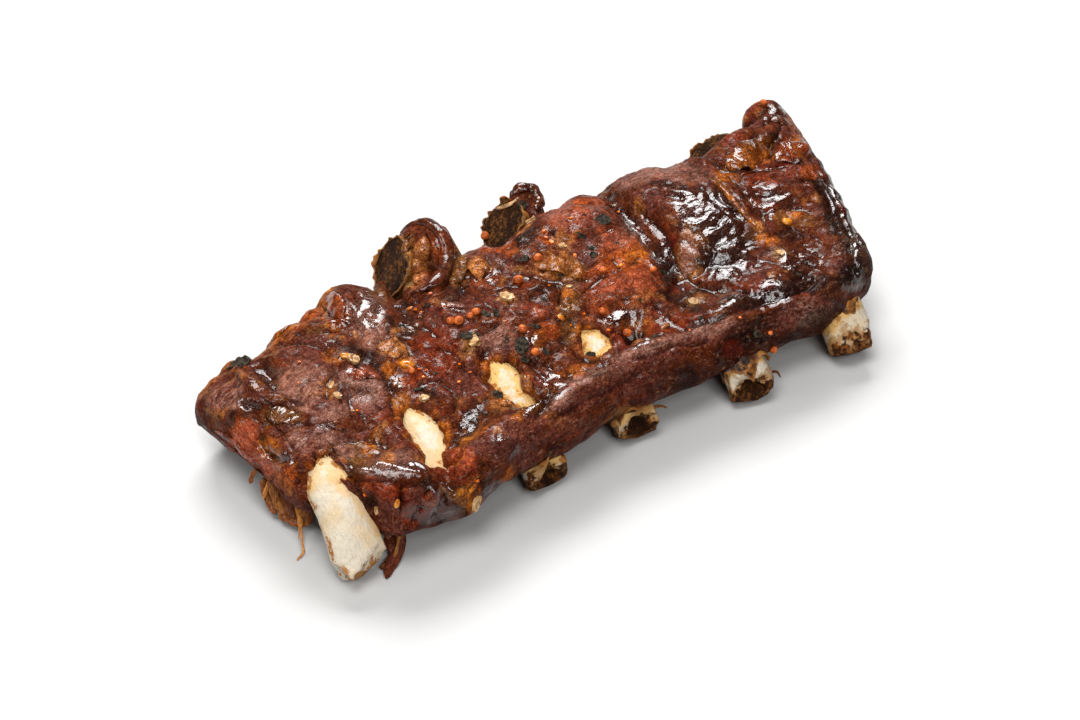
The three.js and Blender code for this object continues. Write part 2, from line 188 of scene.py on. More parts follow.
def aim_camera():
    camera = bpy.data.objects.new("camera", bpy.data.cameras.new("camera"))
    bpy.context.scene.collection.objects.link(camera)
    camera.data.lens = LENS
    camera.data.sensor_width = SENSOR
    flat = math.cos(VIEW_ELEVATION)
    along_x, along_y = flat * math.cos(VIEW_HEADING), flat * math.sin(VIEW_HEADING)
    ahead = Vector((along_x, along_y, -math.sin(VIEW_ELEVATION)))
    right = ahead.cross(Vector((0, 0, 1))).normalized()
    up = right.cross(ahead)
    side = math.cos(VIEW_ROLL) * right + math.sin(VIEW_ROLL) * up
    rise = math.cos(VIEW_ROLL) * up - math.sin(VIEW_ROLL) * right
    turn = Matrix((side, rise, -ahead)).transposed()
    camera.matrix_world = Matrix.Translation(VIEW_TARGET - ahead * VIEW_DISTANCE) @ turn.to_4x4()
    camera.data.clip_end = VIEW_END
    bpy.context.scene.camera = camera
    return camera


camera = aim_camera()
print("camera at", [round(c, 3) for c in camera.location])

# %% [markdown]
# ## The course of a rib
# Every rib is an arch: it rises steeply from its tip at the front to a crown, and falls gently to
# its head at the back. The meat follows the same arch, so the rule is written once.

# %% The course of a rib
COVER = 2.5
HOOK_REACH = 0.11
BARE_END = (0.27, 0.33)
BARE_DROP = 12
HEAD_OFFSET = np.array([-1.5, 1, 3.2])


def place_on_bone(bone, y):
    return np.clip((y - bone["tip"][1]) / (bone["head"][1] - bone["tip"][1]), 0, 1)


def bone_centre(bone, place):
    place = np.asarray(place, float)
    rise = 1 - (1 - np.minimum(place / KNEE, 1)) ** bone["bend"]
    fall = np.maximum(0, (place - KNEE) / (1 - KNEE)) ** 2
    tip, head = bone["tip"], bone["head"]
    x = mix(tip[0], head[0], place) + bone["hook"] * bell(place / HOOK_REACH)
    z = tip[2] + (bone["crown"] - tip[2]) * rise + (head[2] - bone["crown"]) * fall
    return np.stack([x, mix(tip[1], head[1], place), z], -1)


def cover_height(x, y):
    height = np.zeros_like(x)
    for name, bone in BONES.items():
        place = place_on_bone(bone, y)
        centre = bone_centre(bone, place)
        across = (x - centre[..., 0]) / (bone["width"] / 2 + COVER * 2)
        bare = 1 - smooth(*BARE_END, place) if name == "rib_bone_1" else 0 * place
        arch = np.sqrt(np.clip(1 - across * across, 0, 1))
        crown = centre[..., 2] + (bone["thick"] / 2 + COVER) * arch
        covered = (np.abs(across) < 1) & (bare < 1)
        height = np.where(covered, np.maximum(height, crown - BARE_DROP * bare), height)
    return height


print("crown of the first rib:", bone_centre(BONES["rib_bone_1"], KNEE).round(1))

# %% [markdown]
# ## The slab of meat
# The slab could be sculpted from a block, but a loft is easier to steer: one section is carried
# along the rack, and every point of it is pushed out by muscles, folds and pads that are each one
# line in a list. Sampling the section evenly keeps the faces the same size, and the underside,
# which is smooth, gets fewer of them.

# %% The section
STATIONS = 400
RING = 234
UNDERSIDE_SHARE = 0.4
END_CROWDING = 0.25
LEFT_ROUND = 0.05
LEFT_POWER = 2.2
RIGHT_ROUND = 0.03
RIGHT_POWER = 2.8
SMALLEST_END = 0.02
FINE_STEPS = 4000
NUDGE = 1e-4


def spline(p0, p1, p2, p3, f):
    bend = (2 * p0 - 5 * p1 + 4 * p2 - p3) * f**2 + (3 * p1 - p0 - 3 * p2 + p3) * f**3
    return 0.5 * (2 * p1 + (p2 - p0) * f + bend)


def catmull_rom(points, places):
    u = places * len(points)
    i = np.floor(u).astype(int)
    return spline(*(points[(i + step) % len(points)] for step in (-1, 0, 1, 2)), (u - i)[:, None])


def even_section():
    control = np.array(SECTION_TOP + SECTION_UNDER, float)
    places = np.linspace(0, 1, FINE_STEPS + 1)[:-1]
    curve = catmull_rom(control, places)
    width = BACK_Y - FRONT_Y
    step = np.diff(np.vstack([curve, curve[:1]]), axis=0) * (width, 1)
    turn = (len(SECTION_TOP) - 1) / len(control)
    length = np.linalg.norm(step, axis=1) * np.where(places > turn, UNDERSIDE_SHARE, 1)
    run = np.concatenate([[0], np.cumsum(length)])
    picks = np.interp(np.linspace(0, run[-1], RING + 1)[:-1], run, np.append(places, 1))
    point = catmull_rom(control, picks)
    before, after = (catmull_rom(control, (picks + move) % 1) for move in (-NUDGE, NUDGE))
    ahead = (after - before) * (width, 1)
    return point, unit(np.stack([-ahead[:, 1], ahead[:, 0]], -1))


SECTION, SECTION_NORMAL = even_section()
print("section points:", len(SECTION), "highest", round(SECTION[:, 1].max(), 1), "mm")


# %% Edges of the slab
def edge_y(x, level, swells, outwards):
    return level + outwards * sum(move * bell((x - at) / width) for at, width, move in swells)


def front_y(x):
    step = CORNER_STEP["depth"] * (1 - smooth(CORNER_STEP["from"], CORNER_STEP["to"], x))
    return edge_y(x, FRONT_Y, FRONT_SWELLS, -1) + step


def bare_slab():
    even = np.linspace(0, 1, STATIONS)
    share = (even - END_CROWDING / (2 * np.pi) * np.sin(2 * np.pi * even))[:, None]
    left = 1 - np.clip(1 - share / LEFT_ROUND, 0, 1) ** LEFT_POWER
    right = 1 - np.clip(1 - (1 - share) / RIGHT_ROUND, 0, 1) ** RIGHT_POWER
    end = np.clip(np.sqrt(left) * right**0.4, SMALLEST_END, 1)
    x_front, x_back = mix(*FRONT_X, share), mix(*BACK_X, share)
    lift = END_LIFT["left"] * (1 - smooth(0, 0.12, share)) + END_LIFT["right"] * smooth(0.95, 1, share)
    t = 0.5 + (SECTION[:, 0] - 0.5) * (1 - CORNER_PINCH * (1 - end))
    z = mix(END_MIDDLE_Z, np.maximum(SECTION[:, 1], lift), end)
    y = mix(front_y(x_front), edge_y(x_back, BACK_Y, BACK_SWELLS, 1), t)
    points = np.stack([mix(x_front, x_back, t), y, z], -1)
    return points, np.broadcast_to(end, z.shape)


points, end_share = bare_slab()
print("bare slab:", points.shape)

# %% [markdown]
# ## Muscles and pits
# A muscle is a wide bell on the plan of the rack. It is pushed along the section's own direction, so
# that a swell at the lip leans forward and one on the back leans back.

# %% Muscles
# (x, y, half width, half length, turn in degrees, height)
MUSCLES = [
    (-101, 12, 6, 24, 3, 3.5), (-92.5, 6, 3.5, 14, 3, -3.2), (-86, 29, 2.6, 10, -14, 2.6),
    (-80, 31, 4, 8, -14, -2.6), (-60, 15, 9, 8, 0, 2.6), (-76, 12, 8, 9, 0, 1.4),
    (-42, 44, 7, 13, -10, 4.2), (-31, 36, 4, 12, -12, -3.8), (-12, 33, 3, 9, -30, -4.6),
    (2, 38, 6, 8, -10, 2.4), (11, 44, 4, 6, 0, -2.6), (33, 33, 15, 13, -10, 3.4), (26, 1, 13, 9, -8, 3),
    (47, 18, 4, 25, -9, -4.6), (64, 14, 13, 26, -8, 3.2), (47, -9, 7, 4, 0, -4.2),
    (80, 20, 1.8, 20, -5, 1.6), (96, 14, 12, 16, -8, 1.6), (101, 33, 15, 5, 12, 3.8),
    (104, 23, 13, 3, 14, -2.6), (119, 43, 6, 6, 0, 3.4), (-74, -20, 9, 5, 8, 2.6),
    (-44, -18, 7, 10, 0, -1.8), (-45, 8, 9, 9, 0, -1.6), (18, -16, 7, 5, 0, -2.2),
    (66, -24, 16, 5, 4, 1.6), (-5, -25, 22, 4, 0, 1.4),
]
# (wave in mm, height in mm)
SLOW_WAVES = [(15, 1.5), (7, 0.9)]
UNDER_ARCH = 2.2
UNDER_RIDGE = 7


def muscle_height(x, y):
    height = np.zeros_like(x)
    for cx, cy, width, length, turn, rise in MUSCLES:
        angle = math.radians(turn)
        across = ((x - cx) * math.cos(angle) + (y - cy) * math.sin(angle)) / width
        along = ((y - cy) * math.cos(angle) - (x - cx) * math.sin(angle)) / length
        height += rise * bell(np.hypot(across, along))
    return height


def distance_to_line(x, y, line):
    nearest = np.full(x.shape, 1e9)
    for (ax, ay), (bx, by) in zip(line, line[1:]):
        dx, dy = bx - ax, by - ay
        t = np.clip(((x - ax) * dx + (y - ay) * dy) / (dx * dx + dy * dy), 0, 1)
        nearest = np.minimum(nearest, np.hypot(x - ax - t * dx, y - ay - t * dy))
    return nearest


def press_relief(points, end):
    ny, nz = SECTION_NORMAL[:, 0], SECTION_NORMAL[:, 1]
    x, y, z = np.moveaxis(points, -1, 0)
    on_top = smooth(0.1, 0.8, nz)
    below = smooth(0.1, 0.8, -nz) * smooth(3, 8, z)
    slow = sum(rise * slow_noise(points, wave) for wave, rise in SLOW_WAVES)
    push = (muscle_height(x, y) * on_top + slow * smooth(0, 6, z)) * end
    near = np.min([np.abs(x - bone_centre(b, place_on_bone(b, y))[..., 0]) for b in BONES.values()], axis=0)
    y = y + push * ny
    z = z + push * nz + UNDER_ARCH * (1 - bell(near / UNDER_RIDGE)) * below * end
    covered = cover_height(x, y) * smooth(0.2, 0.6, on_top)
    return np.stack([x, y, np.maximum(np.maximum(z, 0), covered)], -1)


points = press_relief(points, end_share)
print("after the relief, height:", points[..., 2].max().round(1), "mm")


# %% Normals on the grid of points
def grid_normals(points):
    along = np.gradient(points, axis=0)
    around = np.roll(points, -1, 1) - np.roll(points, 1, 1)
    return unit(np.cross(along, around))


normals = grid_normals(points)
print("share of normals that look up:", (normals[..., 2] > 0).mean().round(2))

# %% [markdown]
# ## Pads at the back edge
# Meat shrinks back from the sawn rib heads and bunches up beside them in round pads. Each pad is an
# ellipsoid, and the points of the slab that lie inside it move out along their normals to its
# skin, which joins the pad to the slab without a seam.

# %% Pads
# (middle, half sizes)
PADS = [
    ((-5.4, 56.2, 18), (9.2, 13, 12.2)), ((33, 57, 18.5), (6, 7.6, 8.8)), ((118, 44, 22), (6.8, 5.4, 8)),
    ((-20, 50, 6), (8, 8, 6)), ((20, 51, 6), (8, 7, 6)), ((-40.5, 50, 17.6), (9, 9, 9.4)),
    ((-48.5, 50, 15.5), (8.5, 8, 8)), ((-26, 51.5, 16), (6.5, 5.5, 5.4)),
]


def swell_pads(points, normals):
    moved = points.copy()
    for centre, size in PADS:
        q = (moved - centre) / size
        n = normals / size
        a = (n * n).sum(-1)
        b = (q * n).sum(-1)
        inside = 1 - (q * q).sum(-1)
        out = (-b + np.sqrt(np.maximum(b * b + a * inside, 0))) / a
        moved += normals * (out * smooth(0, 0.3, inside))[..., None]
    moved[..., 2] = np.maximum(moved[..., 2], 0)
    return moved


points = swell_pads(points, normals)
normals = grid_normals(points)
print("pads reach back to", points[..., 1].max().round(1), "mm")

# %% [markdown]
# ## Places in the picture
# Windows, small creases and colours are easiest to place by where they show in the picture, so a point
# can be given its place in a picture 1080 wide and 720 high. Only points that face the camera take
# what is placed there, and a point keeps what it was given when the view turns.

# %% Places in the picture
PICTURE = (1080, 720)
FOCUS = LENS / SENSOR * PICTURE[0]
VIEW_TURN = np.array(camera.matrix_world.to_3x3())
VIEW_FROM = np.array(camera.matrix_world.translation)
# Millimetres that one pixel spans on the crust
PIXEL = 0.3025


def in_picture(points, normals):
    offset = (points - BOX_MIDDLE) * MM - VIEW_FROM
    local = offset @ VIEW_TURN
    u = PICTURE[0] / 2 - FOCUS * local[..., 0] / local[..., 2]
    v = PICTURE[1] / 2 + FOCUS * local[..., 1] / local[..., 2]
    faces_camera = smooth(0.02, 0.2, -(unit(offset) * normals).sum(-1))
    return u, v, faces_camera


def patch_distance(u, v, middle_u, middle_v, half_u, half_v, turn=0):
    angle = math.radians(turn)
    along = ((u - middle_u) * math.cos(angle) + (v - middle_v) * math.sin(angle)) / half_u
    across = ((v - middle_v) * math.cos(angle) - (u - middle_u) * math.sin(angle)) / half_v
    return np.hypot(along, across)


u, v, _ = in_picture(points, normals)
print("the rack spans", [int(x) for x in (u.min(), v.min(), u.max(), v.max())], "in the picture")

# %% [markdown]
# ## Windows over the bones
# Where the meat has shrunk most, it opens over the bones in ragged windows. The meat there sinks
# below the bone's crown, so that the bone itself stands in the window.

# %% Windows
# For each bone, the lobes of its window: middle, half width, half height, turn in degrees
WINDOWS = {
    "rib_bone_1": [(326, 475, 19, 16, 52)],
    "rib_bone_2": [(424, 431, 25, 15, 52), (435.5, 462, 14, 9.5, 65), (438, 471.5, 13, 7.5, 10)],
    "rib_bone_3": [(506, 378, 18, 15, 50), (520.5, 401, 16.5, 10, 25)],
    "rib_bone_4": [(594, 341.4, 15.5, 12.5, 45)],
}
WINDOW_SINK = 2.7
DISH_COVER = 0.9
# Distances from a lobe's middle, in parts of its half size
DISH_EDGE = (2.3, 1.15)
OPENING_EDGE = (1.2, 1.08)
LIP_RING = (1.42, 0.15)
LIP_HEIGHT = 0.5
STAIN_RING = (1.27, 0.18)


def window_distance(x, y, crown, lobes):
    spot = np.stack([x, y, crown + DISH_COVER], -1)
    u, v, _ = in_picture(spot, np.zeros_like(spot))
    ragged = wobble(0, spot, (0.2, 4.5, 9), (0.2, 1.8, 10))
    return np.min([patch_distance(u, v, *lobe) for lobe in lobes], axis=0) + ragged


def ring(distance, middle, width):
    return bell((distance - middle) / width)


def open_windows(points, normals):
    x, y, z = np.moveaxis(points, -1, 0)
    upward = smooth(0.1, 0.4, normals[..., 2])
    opened = np.zeros_like(x)
    rim = np.zeros_like(x)
    for name, lobes in WINDOWS.items():
        bone = BONES[name]
        crown = bone_centre(bone, place_on_bone(bone, y))[..., 2] + bone["thick"] / 2
        distance = window_distance(x, y, crown, lobes)
        dish = smooth(*DISH_EDGE, distance) * upward
        z = mix(z, np.minimum(z, crown + DISH_COVER + LIP_HEIGHT * ring(distance, *LIP_RING)), dish)
        share = smooth(*OPENING_EDGE, distance) * upward
        z = mix(z, np.minimum(z, crown - WINDOW_SINK), share)
        opened = np.maximum(opened, share)
        rim = np.maximum(rim, ring(distance, *STAIN_RING) * upward)
    return np.stack([x, y, z], -1), opened, rim


points, window_mask, window_rim = open_windows(points, normals)
normals = grid_normals(points)
print("points in the windows:", int((window_mask > 0.5).sum()))

# %% [markdown]
# ## Creases
# Each crease or ridge is one line on the crust with a half width and a height. Its course wobbles a
# little with a noise, and its height fades in and out, because a real crease is never even.

# %% Creases and ridges
WINDOW_CALM = 0.8
# (half width in mm, height in mm, points in the picture): a crease goes down and a ridge goes up
STROKES = [
    (1.6, -2.0, [(399, 484), (401, 496), (400, 510)]), (1.8, 1.1, [(430, 488), (432, 500), (429, 513)]),
    (1.5, -1.6, [(446, 492), (444, 504), (438, 518)]), (1.8, -1.6, [(494, 478), (487, 490), (476, 498)]),
    (1.3, -1.2, [(414, 503), (424, 510), (436, 522)]), (1.6, 1.0, [(506, 462), (509, 476), (501, 492)]),
    (1.3, -2.6, [(240, 364), (252, 376), (260, 386), (272, 392)]),
    (1.6, 1.6, [(237, 371), (256, 382), (272, 395), (290, 402)]),
    (1, -1.3, [(241, 404), (256, 407), (272, 409), (293, 404)]),
    (0.9, 1, [(310, 329), (325, 326), (343, 325)]), (0.9, -1.1, [(299, 334), (316, 332), (337, 333)]),
    (1, -1.6, [(263, 414), (274, 426), (282, 432), (302, 427), (319, 421)]),
    (1, -1.7, [(260, 436), (262, 449), (271, 459), (284, 462)]),
    (1.1, -1.5, [(344, 367), (334, 373), (326, 384), (329, 398)]),
    (1.2, -1.8, [(359, 364), (373, 370), (387, 379), (393, 390), (390, 402), (395, 414)]),
    (0.9, -1.2, [(322, 426), (337, 433), (351, 434), (366, 430)]),
    (1.3, -2, [(350, 283), (357, 299), (353, 318), (361, 332), (363, 352), (361, 364)]),
    (0.9, -1.3, [(319, 292), (322, 305), (331, 314), (343, 321)]),
    (0.8, 0.9, [(326, 305), (335, 311), (343, 323)]),
    (1, -1.2, [(284, 346), (302, 343), (319, 346), (328, 356)]),
    (1, -1.2, [(365, 318), (375, 326), (381, 338), (375, 352)]),
    (1, -1.2, [(376, 342), (392, 342), (410, 346)]),
    (0.9, -1.1, [(363, 289), (381, 304), (398, 308), (416, 305)]),
    (0.8, -0.9, [(203, 414), (216, 423), (228, 437), (236, 452)]),
    (0.7, -0.7, [(209, 393), (225, 380), (238, 373)]), (0.7, -0.7, [(215, 402), (230, 389), (243, 383)]),
    (0.7, -0.7, [(221, 411), (236, 398), (247, 392)]), (0.8, -0.9, [(287, 439), (296, 452), (293, 465)]),
    (0.9, -1.1, [(331, 448), (346, 445), (363, 442), (379, 446)]),
    (0.8, -1, [(346, 396), (351, 411), (366, 417), (381, 411)]),
    (0.75, -1.7, [(411, 286), (409, 264), (414, 243), (423, 238), (432, 246), (435, 264), (429, 280),
        (420, 289), (411, 286)]),
    (1.6, 1.5, [(423, 250), (421, 276)]),
    (1.3, 1.4, [(435, 232), (447, 248), (448, 266), (438, 286), (418, 294), (400, 299)]),
    (0.8, -1.3, [(453, 246), (453, 266), (446, 286), (437, 294), (418, 300), (403, 303)]),
    (1.1, -2.2, [(468, 266), (468, 286), (460, 293), (456, 300)]),
    (1, 1.2, [(467, 291), (452, 298), (444, 306), (446, 316), (457, 320)]),
    (0.7, -1.2, [(403, 238), (403, 250), (405, 264)]),
    (0.9, -1.2, [(486, 292), (507, 286), (518, 287), (532, 276), (550, 283), (562, 290)]),
    (1, -1.3, [(538, 276), (553, 282), (571, 283), (584, 278), (590, 267)]),
    (0.8, -1, [(538, 258), (547, 262), (544, 270)]),
    (0.9, 1, [(469, 241), (486, 240), (498, 244), (513, 242), (526, 238)]),
    (1.2, -1.6, [(492, 244), (507, 242), (526, 231), (535, 218), (538, 209)]),
    (1, -1.5, [(562, 286), (559, 300), (565, 316), (576, 326)]),
    (0.9, -1.1, [(581, 298), (590, 286), (604, 276), (622, 267), (637, 261)]),
    (1, -1.6, [(500, 358), (516, 362), (532, 361), (547, 365), (553, 371)]),
    (0.9, -1.3, [(486, 353), (480, 362), (484, 378), (489, 387)]),
    (1.5, -2.2, [(536, 417), (545, 407), (553, 391), (565, 381), (584, 373), (605, 362), (622, 350),
        (640, 338)]),
    (0.7, 0.8, [(545, 417), (576, 399), (607, 381), (640, 364)]),
    (0.6, 0.6, [(555, 404), (576, 391), (599, 378), (630, 362)]),
    (0.7, -0.8, [(547, 422), (578, 406), (608, 390), (640, 374)]),
    (0.9, -1.1, [(437, 350), (450, 353), (460, 361), (466, 370)]),
    (1.1, -1.7, [(418, 384), (434, 382), (449, 388), (459, 399), (452, 413)]),
    (0.9, -1.2, [(498, 322), (486, 332), (474, 344), (464, 355), (460, 365)]),
    (0.8, -0.9, [(510, 307), (498, 316), (486, 307), (474, 300)]), (1.2, -1.8, [(567, 272), (562, 261)]),
    (0.8, -1, [(486, 254), (492, 264), (489, 276), (474, 286)]),
    (0.8, -1, [(547, 319), (535, 326), (530, 341), (538, 350)]),
    (0.8, -0.9, [(415, 298), (424, 310), (423, 326), (435, 335)]),
    (0.8, -0.9, [(598, 298), (611, 295), (626, 300), (640, 295)]),
    (0.8, -1, [(558, 235), (573, 240), (593, 237), (611, 229), (630, 234)]),
    (1.4, -1.6, [(512, 276), (519, 275), (527, 276)]), (0.8, 0.8, [(590, 266), (607, 257), (630, 249)]),
    (1.2, -2, [(532, 367), (542, 371), (547, 381)]),
    (1.6, -2, [(641, 214), (657, 229), (668, 243), (673, 261), (665, 275)]),
    (1, 1.4, [(711, 177), (725, 189), (741, 205), (752, 220), (759, 229)]),
    (0.9, -1.3, [(714, 186), (729, 205), (743, 223), (741, 238), (746, 248)]),
    (0.9, -1.1, [(721, 177), (739, 193), (754, 211), (766, 223)]),
    (1.2, -2.2, [(675, 284), (684, 280), (700, 288), (714, 291), (729, 288), (743, 291), (757, 295)]),
    (0.7, 0.8, [(709, 279), (716, 272), (732, 272), (743, 280), (755, 282), (768, 277), (779, 270)]),
    (1, -1.7, [(711, 162), (725, 171), (743, 168), (757, 171), (771, 170), (789, 162), (805, 159)]),
    (0.9, -1.3, [(779, 132), (770, 150), (769, 166)]),
    (0.8, -1.1, [(802, 162), (812, 175), (820, 193), (829, 214)]),
    (0.9, -1.2, [(755, 127), (771, 121), (786, 116)]), (1.2, 1.4, [(739, 154), (754, 150), (766, 138)]),
    (1.2, 1.2, [(789, 145), (800, 143), (804, 154)]), (0.7, -0.9, [(780, 127), (789, 141), (788, 159)]),
    (1.2, -1.7, [(600, 338), (616, 330), (632, 339), (659, 333), (689, 328), (714, 319), (736, 312),
        (761, 305), (789, 296), (814, 284)]),
    (0.7, 0.7, [(600, 350), (632, 348), (671, 338), (711, 330), (752, 320), (793, 304)]),
    (0.8, -0.9, [(600, 364), (636, 359), (675, 348), (714, 343), (746, 334), (779, 325)]),
    (0.9, -1.4, [(684, 261), (677, 271), (689, 277), (705, 271)]),
    (0.8, -1, [(700, 186), (714, 200), (725, 214), (714, 229)]),
    (0.8, -1, [(680, 225), (700, 236), (714, 254), (707, 268)]),
    (0.8, -1, [(754, 182), (771, 179), (793, 184), (811, 182)]),
    (0.8, -1, [(761, 214), (782, 209), (804, 211), (820, 221)]),
    (0.8, -1, [(771, 236), (789, 230), (811, 236), (829, 252)]),
    (0.8, -1, [(757, 261), (779, 266), (800, 261), (825, 271)]),
    (0.7, -0.8, [(793, 282), (811, 271), (830, 271)]), (0.9, -1.2, [(750, 332), (761, 341), (775, 339)]),
    (0.8, -1, [(632, 186), (646, 196), (664, 193), (682, 200)]),
    (0.7, -0.8, [(621, 207), (636, 225), (650, 239), (654, 257)]),
    (0.8, -1.2, [(811, 159), (825, 182), (838, 211), (850, 243), (857, 275)]),
    (0.7, -1, [(818, 154), (834, 182), (848, 214), (861, 246)]),
    (0.7, 0.7, [(805, 159), (820, 184), (832, 211), (843, 239), (846, 261)]),
    (0.8, -0.8, [(611, 261), (625, 271), (643, 266), (657, 275)]),
    (1.2, -1.4, [(346, 473), (360, 492), (374, 509)]),
    (1.5, 1.2, [(357, 473), (381, 468), (405, 473), (431, 480)]),
    (1, -1.4, [(353, 483), (381, 480), (405, 484), (432, 483)]),
    (0.9, -1.1, [(400, 486), (402, 505), (402, 526)]), (0.7, -0.8, [(415, 486), (419, 505), (415, 523)]),
    (0.7, -0.8, [(427, 490), (432, 509), (443, 523)]), (0.9, -1.2, [(439, 485), (450, 502), (467, 516)]),
    (0.9, -1.2, [(457, 471), (453, 485), (472, 490), (482, 478)]),
    (1, -1.4, [(484, 483), (481, 499), (484, 516)]), (0.8, -1, [(498, 485), (494, 499), (508, 509)]),
    (0.8, -0.9, [(250, 471), (271, 474), (291, 473), (302, 485)]),
    (0.9, -1.1, [(267, 457), (288, 459), (307, 464)]), (0.9, -1.1, [(319, 450), (340, 456), (353, 466)]),
    (1, 1.2, [(448, 456), (445, 468), (453, 478)]),
]
print("creases and ridges:", len(STROKES))


# %% Press the creases in
def crease_height(points, normals):
    u, v, faces_camera = in_picture(points, normals)
    u = wobble(u, points, (3.0, 7, 3), (1.2, 2.5, 13))
    v = wobble(v, points, (3.0, 7, 4), (1.2, 2.5, 14))
    fade = wobble(0.75, points, (0.45, 9, 15))
    height = np.zeros_like(u)
    for width, rise, line in STROKES:
        height += rise * fade * bell(distance_to_line(u, v, line) * PIXEL / width)
    return height * faces_camera


creased_share = 1 - WINDOW_CALM * window_mask
points = points + normals * (crease_height(points, normals) * creased_share)[..., None]
points[..., 2] = np.maximum(points[..., 2], 0)
normals = grid_normals(points)
print("after the creases, height:", points[..., 2].max().round(1), "mm")

# %% [markdown]
# ## Bark
# Smoke and heat dry the outside into bark, which wrinkles as the meat below it shrinks. Folded
# noises of smaller and smaller size are added along the normals. The wrinkles run across the
# muscles on the top and along the rack on the front lip.

# %% Bark
# Smoother places: (middle, half width and half height in the picture, turn in degrees if it has one)
SMOOTH = [
    (246, 442, 17.6, 16.1, 30), (224, 392, 22, 14.7, -40), (363, 402, 17.6, 13.2), (315, 354, 23.5, 11.7),
    (421, 266, 9.2, 22.2, 10), (567, 214, 23, 10.7), (469, 382, 15.3, 15.3), (611, 289, 23, 10.7),
    (498, 338, 15.3, 10.7), (668, 239, 10.7, 23.2, -25), (686, 257, 12.5, 19.6),
    (754, 152, 21.4, 10.7, -28), (802, 312, 33.9, 13.4, -24), (627, 254, 21.4, 16.1),
    (374, 485, 15.5, 8.6),
]
# Folds: (height in mm, wave in mm, seed, stretch if it has one)
TORN = [(0.62, 9, 1), (0.38, 4.6, 2, (1, 1.5, 1))]
TIGHT = [(0.2, 2.6, 5), (0.12, 1.5, 6)]
ROLLED = [(0.42, 6.5, 7, (2.6, 1, 0.9)), (0.22, 2.2, 8)]
LIP_FRONT = (-20, -27)
SMOOTH_CALM = 0.75


def shares_in_picture(points, normals, patches):
    u, v, faces_camera = in_picture(points, normals)
    u = wobble(u, points, (5, 6, 16), (2, 2, 17))
    v = wobble(v, points, (5, 6, 18), (2, 2, 19))
    share = np.zeros_like(u)
    for patch in patches:
        share = np.maximum(share, smooth(1.25, 0.7, patch_distance(u, v, *patch)))
    return share * faces_camera


def wrinkle(points, normals, end):
    _, y, z = np.moveaxis(points, -1, 0)
    upper = smooth(-0.5, 0.2, normals[..., 2])
    tight = folds(points, *TIGHT)
    on_back = folds(points, *TORN) + tight
    on_lip = folds(points, *ROLLED) + 0.5 * tight
    height = mix(on_back, on_lip, smooth(*LIP_FRONT, y)) * mix(0.35, 1, upper)
    height = height * smooth(0.2, 2.5, z) * (1 - WINDOW_CALM * window_mask) * mix(0.3, 1, end)
    height = height * (1 - SMOOTH_CALM * smooth_share)
    return points + normals * height[..., None]


smooth_share = shares_in_picture(points, normals, SMOOTH)
before_bark = points
points = wrinkle(points, normals, end_share)
points[..., 2] = np.maximum(points[..., 2], 0)
normals = grid_normals(points)
print("bark moved the surface by up to", np.linalg.norm(points - before_bark, axis=-1).max().round(2), "mm")

# %% [markdown]
# ## Hollows
# A point lies in a hollow if its neighbours' mean lies outside it. A mean over a few neighbours finds
# the small folds, where shade is painted dark, and a mean over many finds the wide dips where the juice
# pools.

# %% Hollows and ridges
FINE_BLUR = 8
WIDE_BLUR = 90


def blur(values, times):
    for _ in range(times):
        values = (np.roll(values, 1, 1) + 2 * values + np.roll(values, -1, 1)) / 4
        padded = np.concatenate([values[:1], values, values[-1:]])
        values = (padded[:-2] + 2 * values + padded[2:]) / 4
    return values


def hollow(points, normals, times):
    return ((blur(points, times) - points) * normals).sum(-1)


fine_hollow = hollow(points, normals, FINE_BLUR)
wide_hollow = hollow(points, normals, WIDE_BLUR)
print("hollows from", wide_hollow.min().round(1), "to", wide_hollow.max().round(1), "mm")

# %% [markdown]
# ## Where each colour lies
# The meat isn't one brown. Plum muscle, tan fat, red cured edges, amber glaze and black char lie side
# by side in patches of five to fifteen millimetres. Each patch has a ragged edge and lies over the
# patches before it. What no patch covers gets a drift of the same tones from noise, so the hidden
# sides are as rich as the ones in view. Some patches paint light instead: a pale sheen on the left and
# along the lip, and shade in a few creases and in a gap. The front faces are painted darker as shade,
# and a golden glow is painted on the back edge at the left, where light from behind shines through.

# %% Tones of cooked meat
def srgb(red, green, blue):
    channels = [c / 255 for c in (red, green, blue)]
    linear = [c / 12.92 if c <= 0.04045 else ((c + 0.055) / 1.055) ** 2.4 for c in channels]
    return (*linear, 1)


MEAT_TONES = {
    "deep": srgb(40, 15, 6), "brown": srgb(92, 42, 15), "red": srgb(120, 47, 17),
    "crimson": srgb(92, 24, 10), "salmon": srgb(152, 76, 46), "orange": srgb(158, 76, 24),
    "amber": srgb(170, 98, 26), "plum": srgb(95, 51, 42), "mauve": srgb(138, 100, 90),
    # Of the tones on the next line, the third is a pale sheen painted into the colour, not a colour of the
    # meat.
    "tan": srgb(168, 112, 58), "olive": srgb(122, 84, 42), "painted_sheen": srgb(134, 92, 80),
    "gold": srgb(190, 122, 40), "rose": srgb(166, 88, 62), "cream": srgb(220, 195, 150),
    "grey": srgb(66, 54, 46), "black": srgb(12, 8, 6),
}
print("tones:", len(MEAT_TONES))

